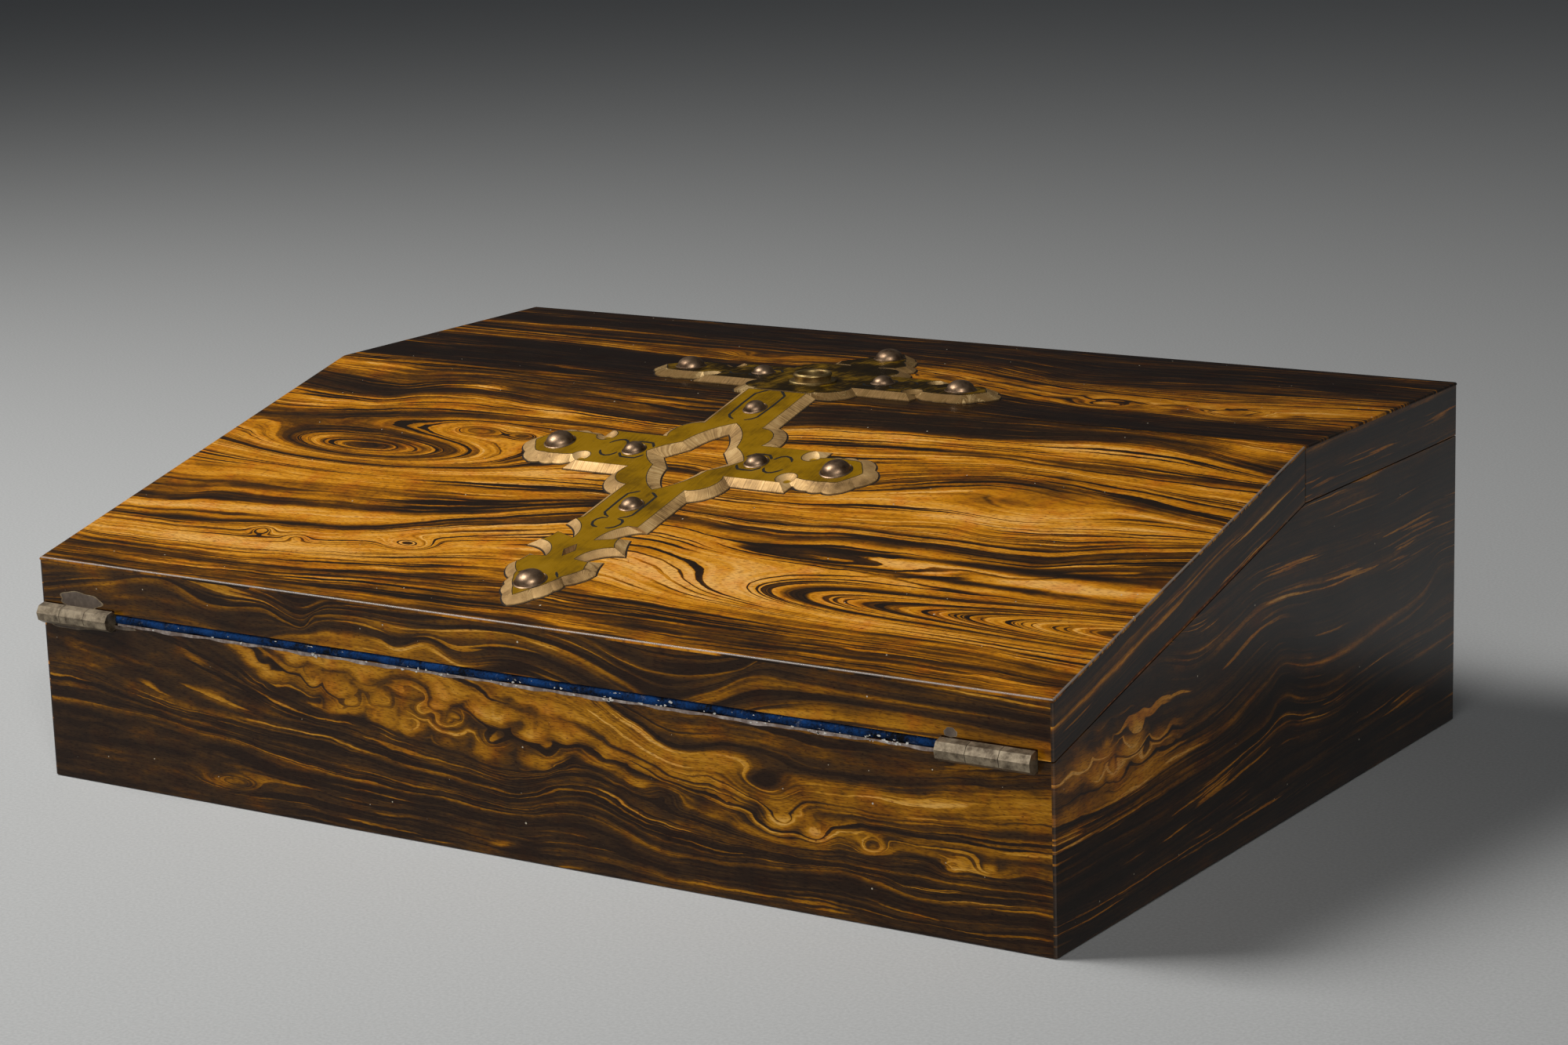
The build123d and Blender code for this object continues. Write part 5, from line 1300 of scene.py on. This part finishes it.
@dataclass
class Wear:
    """Traces of age on the front: glue line and flecks under the velvet, films round the hinges."""

    shelf: Shelf
    low_x: float = -165.0
    high_x: float = 162.0
    edge: float = 58.6
    proud: float = 0.05

    def build(self) -> None:
        """Builds the traces."""
        self.worn_edge()
        self.flecks()
        self.films()
        self.rubbed_line()
        LOG.info("wear built")

    def add_piece(
        self, name: str, points: np.ndarray, faces: Sequence[Sequence[int]], finish: Finish, body: str
    ) -> None:
        """Makes one trace from points in millimetres and lets it ride."""
        obj = new_object(name, points * MM, faces, smooth=False)
        put(obj, self.shelf.take(finish))
        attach(obj, body)

    def worn_edge(self) -> None:
        """The case's upper front edge, rubbed to pale glue: a ribbon whose height wavers by sines."""
        x = np.linspace(self.low_x, self.high_x, 260)
        height = 0.95 + 0.22 * np.sin(x / 4.7) + 0.16 * np.sin(x / 1.9 + 1.0) + 0.1 * np.sin(x / 13.0)
        front = np.full_like(x, SIZES.front - self.proud)
        upper = np.stack([x, front, np.full_like(x, self.edge + 0.06)], -1)
        lower = np.stack([x, front, self.edge - height], -1)
        self.add_piece("worn_case_edge", *ribbon(upper, lower), Finish.OLD_GLUE, "case")

    def flecks(self) -> None:
        """Flecks of glue and lint along the fold: small six-sided flakes, crowded at a few places."""
        rng = np.random.default_rng(7)
        crowds = ((-78.0, 2.0, 14), (-34.0, 4.0, 6), (44.0, 3.0, 14), (54.0, 2.0, 5), (90.0, 14.0, 20))
        crowds += ((122.0, 5.0, 12), (144.0, 8.0, 26), (-2.0, 5.0, 6), (0.0, 110.0, 50))
        fold = (57.7, 60.6)
        places, sizes = [], []
        for middle, spread, count in crowds:
            x = middle + rng.normal(0.0, spread, count)
            z = rng.uniform(*fold, count)
            places.append(np.stack([x, z], -1))
            sizes.append(rng.uniform(0.12, 0.5, count) * (1.6 if spread < 4.0 else 1.0))
        centres, size = np.concatenate(places), np.concatenate(sizes)
        keep = (centres[:, 0] > self.low_x) & (centres[:, 0] < self.high_x - 2.0)
        centres, size = centres[keep], size[keep]
        angles = np.linspace(0, 2 * np.pi, 6, endpoint=False)
        reach = size[:, None] * rng.uniform(0.5, 1.2, (len(size), 6))
        x = centres[:, :1] + 1.5 * reach * np.cos(angles)
        z = centres[:, 1:] + reach * np.sin(angles)
        y = np.full_like(x, SIZES.front - 0.12)
        points = np.stack([x, y, z], -1).reshape(-1, 3)
        faces = np.arange(len(points)).reshape(-1, 6)
        self.add_piece("fold_flecks", points, faces, Finish.LINT, "case")

    def films(self) -> None:
        """Dried varnish round the hinges: discs whose radius wavers, drawn out lengthwise."""
        discs = (
            ("upper_left_film", -182.0, 64.6, 9.8, 3.2, "slope_lid", 1.0),
            ("lower_left_film", -187.5, 56.0, 10.5, 1.9, "case", 2.0),
            ("lower_run_film", -168.0, 57.2, 12.0, 0.6, "case", 5.0),
            ("upper_right_film", 165.5, 64.2, 2.3, 1.5, "slope_lid", 3.0),
        )
        angles = np.linspace(0, 2 * np.pi, 48, endpoint=False)
        for name, x, z, long, high, body, turn in discs:
            reach = 1.0 + 0.07 * np.sin(3 * angles + turn) + 0.05 * np.sin(7 * angles + 2 * turn)
            flat = np.stack([x + long * reach * np.cos(angles), z + high * reach * np.sin(angles)], -1)
            y = np.full(len(flat), SIZES.front - self.proud)
            rim = np.stack([flat[:, 0], y, flat[:, 1]], -1)
            inner = rim + (np.array([x, y[0], z]) - rim) * 0.07
            points = np.concatenate([rim, inner])
            count = len(rim)
            ring = [(i, (i + 1) % count, (i + 1) % count + count, i + count) for i in range(count)]
            self.add_piece(f"{name}_rim", points, ring, Finish.FILM_RIM, body)
            self.add_piece(name, inner, [tuple(range(count))], Finish.FILM, body)

    def rubbed_line(self) -> None:
        """The slope lid's lower right edge, rubbed to bare orange wood: a ribbon that tapers off."""
        y = np.linspace(-118.0, 8.0, 90)
        parting = SIZES.parting + (y - SIZES.front) * SIZES.rise
        height = 0.75 * np.sin(np.pi * (y + 118.0) / 126.0) ** 0.5 + 0.12 * np.sin(y / 3.1)
        x = np.full_like(y, SIZES.half_width + 0.04)
        low = parting + 0.35
        high = low + np.maximum(height, 0.05)
        points, faces = ribbon(np.stack([x, y, low], -1), np.stack([x, y, high], -1))
        self.add_piece("rubbed_lid_edge", points, faces[:, ::-1], Finish.BARE_EDGE, "slope_lid")


@dataclass
class Studio:
    """Camera at the photograph's place, soft lamps, a pale floor and a dim plain world."""

    shelf: Shelf
    place: Triple = (0.698793, -1.022944, 0.361994)
    azimuth: float = -33.814
    elevation: float = -12.80
    roll: float = -1.786
    lens: float = 84.116
    sensor: float = 36.0
    sky: str = "#8d939b"

    def build(self) -> None:
        """Builds camera, world, lamps and floor."""
        scene = bpy.context.scene
        scene.view_settings.view_transform = "Standard"
        scene.camera = self.camera()
        self.world(scene)
        soft = {"kind": "AREA", "shape": "SQUARE"}
        self.lamp("left softbox", (-1.0, -0.55, 1.4), (0.0, -0.02, 0.08), **soft, size=0.8, energy=29.0)
        self.lamp("front fill", (0.75, -1.5, 0.8), (0.0, -0.1, 0.06), **soft, size=1.2, energy=9.0)
        cone = {"kind": "SPOT", "spot_size": math.radians(17.0), "spot_blend": 0.9}
        cone["shadow_soft_size"] = 0.12
        self.lamp("snooted spot", (1.0, -1.1, 0.95), (0.0, -0.04, 0.11), **cone, energy=35.0)
        self.floor()
        LOG.info("studio built")

    def camera(self) -> Piece:
        """The photograph's camera: aimed by azimuth and elevation, then rolled."""
        azimuth, elevation, roll = map(math.radians, (self.azimuth, self.elevation, self.roll))
        level = Vector((math.sin(azimuth), math.cos(azimuth), 0.0))
        forward = level * math.cos(elevation) + Vector(UPWARDS) * math.sin(elevation)
        right = forward.cross(Vector(UPWARDS)).normalized()
        up = right.cross(forward)
        sin, cos = math.sin(roll), math.cos(roll)
        right, up = cos * right + sin * up, cos * up - sin * right
        data = bpy.data.cameras.new("photograph camera")
        data.lens, data.sensor_width = self.lens, self.sensor
        data.clip_start, data.clip_end = 0.05, 60.0
        camera = bpy.data.objects.new("photograph camera", data)
        turn = Matrix((right, up, -forward)).transposed().to_4x4()
        camera.matrix_world = Matrix.Translation(self.place) @ turn
        bpy.context.scene.collection.objects.link(camera)
        return camera

    def world(self, scene: bpy.types.Scene) -> None:
        """An even, dim grey all round."""
        world = bpy.data.worlds.new("studio")
        world.use_nodes = True
        tree = world.node_tree
        tree.nodes.clear()
        back = add(tree, "Background", {"Color": linear(self.sky), "Strength": 0.15})
        add(tree, "OutputWorld", {"Surface": back})
        scene.world = world

    def lamp(self, name: str, place: Triple, target: Triple, kind: str, **settings: object) -> None:
        """A lamp with its settings, in its place and turned to a point. The spot lights the mounts."""
        data = bpy.data.lights.new(name, kind)
        for key, value in settings.items():
            setattr(data, key, value)
        lamp = bpy.data.objects.new(name, data)
        lamp.location = place
        lamp.rotation_mode = "QUATERNION"
        lamp.rotation_quaternion = (Vector(target) - Vector(place)).to_track_quat("-Z", "Y")
        bpy.context.scene.collection.objects.link(lamp)

    def floor(self) -> None:
        """A pale paper floor with a very fine tooth."""
        side = 9.0
        corners = np.array([(-side, -side, 0), (side, -side, 0), (side, side, 0), (-side, side, 0)])
        floor = new_object("studio_floor", corners, [(0, 1, 2, 3)], smooth=False)
        put(floor, self.shelf.take(Finish.PAPER))


def mounts(shelf: Shelf, nodes: dict[str, Piece]) -> list[StrapMount]:
    """The slope's pierced mount and the back lid's plain one."""
    below_ridge, behind_ridge = 53.4, 26.3
    run = below_ridge * math.cos(SIZES.angle)
    slope_y = SIZES.ridge - run
    slope_z = SIZES.height - SIZES.rise * run
    down = Vector((0.0, -math.cos(SIZES.angle), -math.sin(SIZES.angle)))
    bracket = [(19.2, 3.0), (19.7, 4.0), (21.3, 5.9), (24.0, 6.1), (27.0, 5.9), (28.8, 3.9), (29.1, 3.2)]
    curl = [(30.3, 3.0), (30.7, 4.3), (31.7, 5.6), (33.4, 6.3), (35.2, 5.8), (36.7, 4.4), (37.6, 2.8)]
    arms = [[(i * x, j * y) for x, y in line] for line in (bracket, curl) for i in (-1, 1) for j in (-1, 1)]
    long_side = [(2.4, 28.4), (3.4, 29.0), (5.8, 30.9), (5.9, 36.0), (5.6, 44.9), (4.4, 46.4), (2.2, 47.7)]
    long_curl = [(2.0, 48.3), (4.2, 48.8), (5.3, 50.2), (5.5, 52.0), (4.6, 53.9), (3.2, 54.9), (1.6, 55.2)]
    short_side = [
        (2.6, -53.0), (3.6, -52.4), (6.1, -49.8), (6.3, -42.0), (5.8, -32.2), (4.4, -30.4), (2.2, -29.2)
    ]
    slit = [(5.2, 86.8), (6.4, 88.2), (8.0, 90.0)]
    stem = [
        [(shift + side * x, y) for x, y in line]
        for line, shift in ((long_side, 0.9), (long_curl, 0.9), (short_side, 0.9), (slit, 1.9))
        for side in (-1, 1)
    ]
    slope = StrapMount(
        name="slope_cross", body="slope_lid", node="slope_mount", studs_node="slope_mount_studs",
        shelf=shelf, nodes=nodes, origin=Vector((SIZES.shift, slope_y, slope_z)) * MM,
        across=Vector((-1.0, 0.0, 0.0)), finial=down, finish=Finish.SLOPE_BRASS,
        large=((-56.9, 0.0), (56.9, 0.0), (1.9, 94.1)),
        small=((-25.2, 0.0), (25.2, 0.0), (0.0, -38.5), (0.0, 38.5)), scribed=arms + stem,
    )
    back = StrapMount(
        name="back_cross", body="back_lid", node="back_mount", studs_node="back_mount_studs", shelf=shelf,
        nodes=nodes, origin=Vector((-0.6, SIZES.ridge + behind_ridge, SIZES.height)) * MM,
        across=Vector(LENGTHWISE), finial=Vector(DEPTHWISE), finish=Finish.BACK_BRASS_PAINTED_SHADE,
        large=((-56.9, 0.0), (56.9, 0.0), (1.9, 41.9)), small=((-25.2, 0.0), (25.2, 0.0)), scribed=arms,
    )
    return [slope, back]


def main() -> None:
    """Builds every sub-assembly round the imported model."""
    logging.basicConfig(level=logging.INFO)
    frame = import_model()
    nodes, shelf = frame["nodes"], Shelf()
    Carcass(shelf, nodes).build()
    for mount in mounts(shelf, nodes):
        mount.build()
    KeyholeNozzle(shelf, nodes).build()
    Fittings(shelf, nodes).build()
    FoldVelvet(shelf).build()
    Wear(shelf).build()
    Studio(shelf).build()


if __name__ == "__main__":
    main()
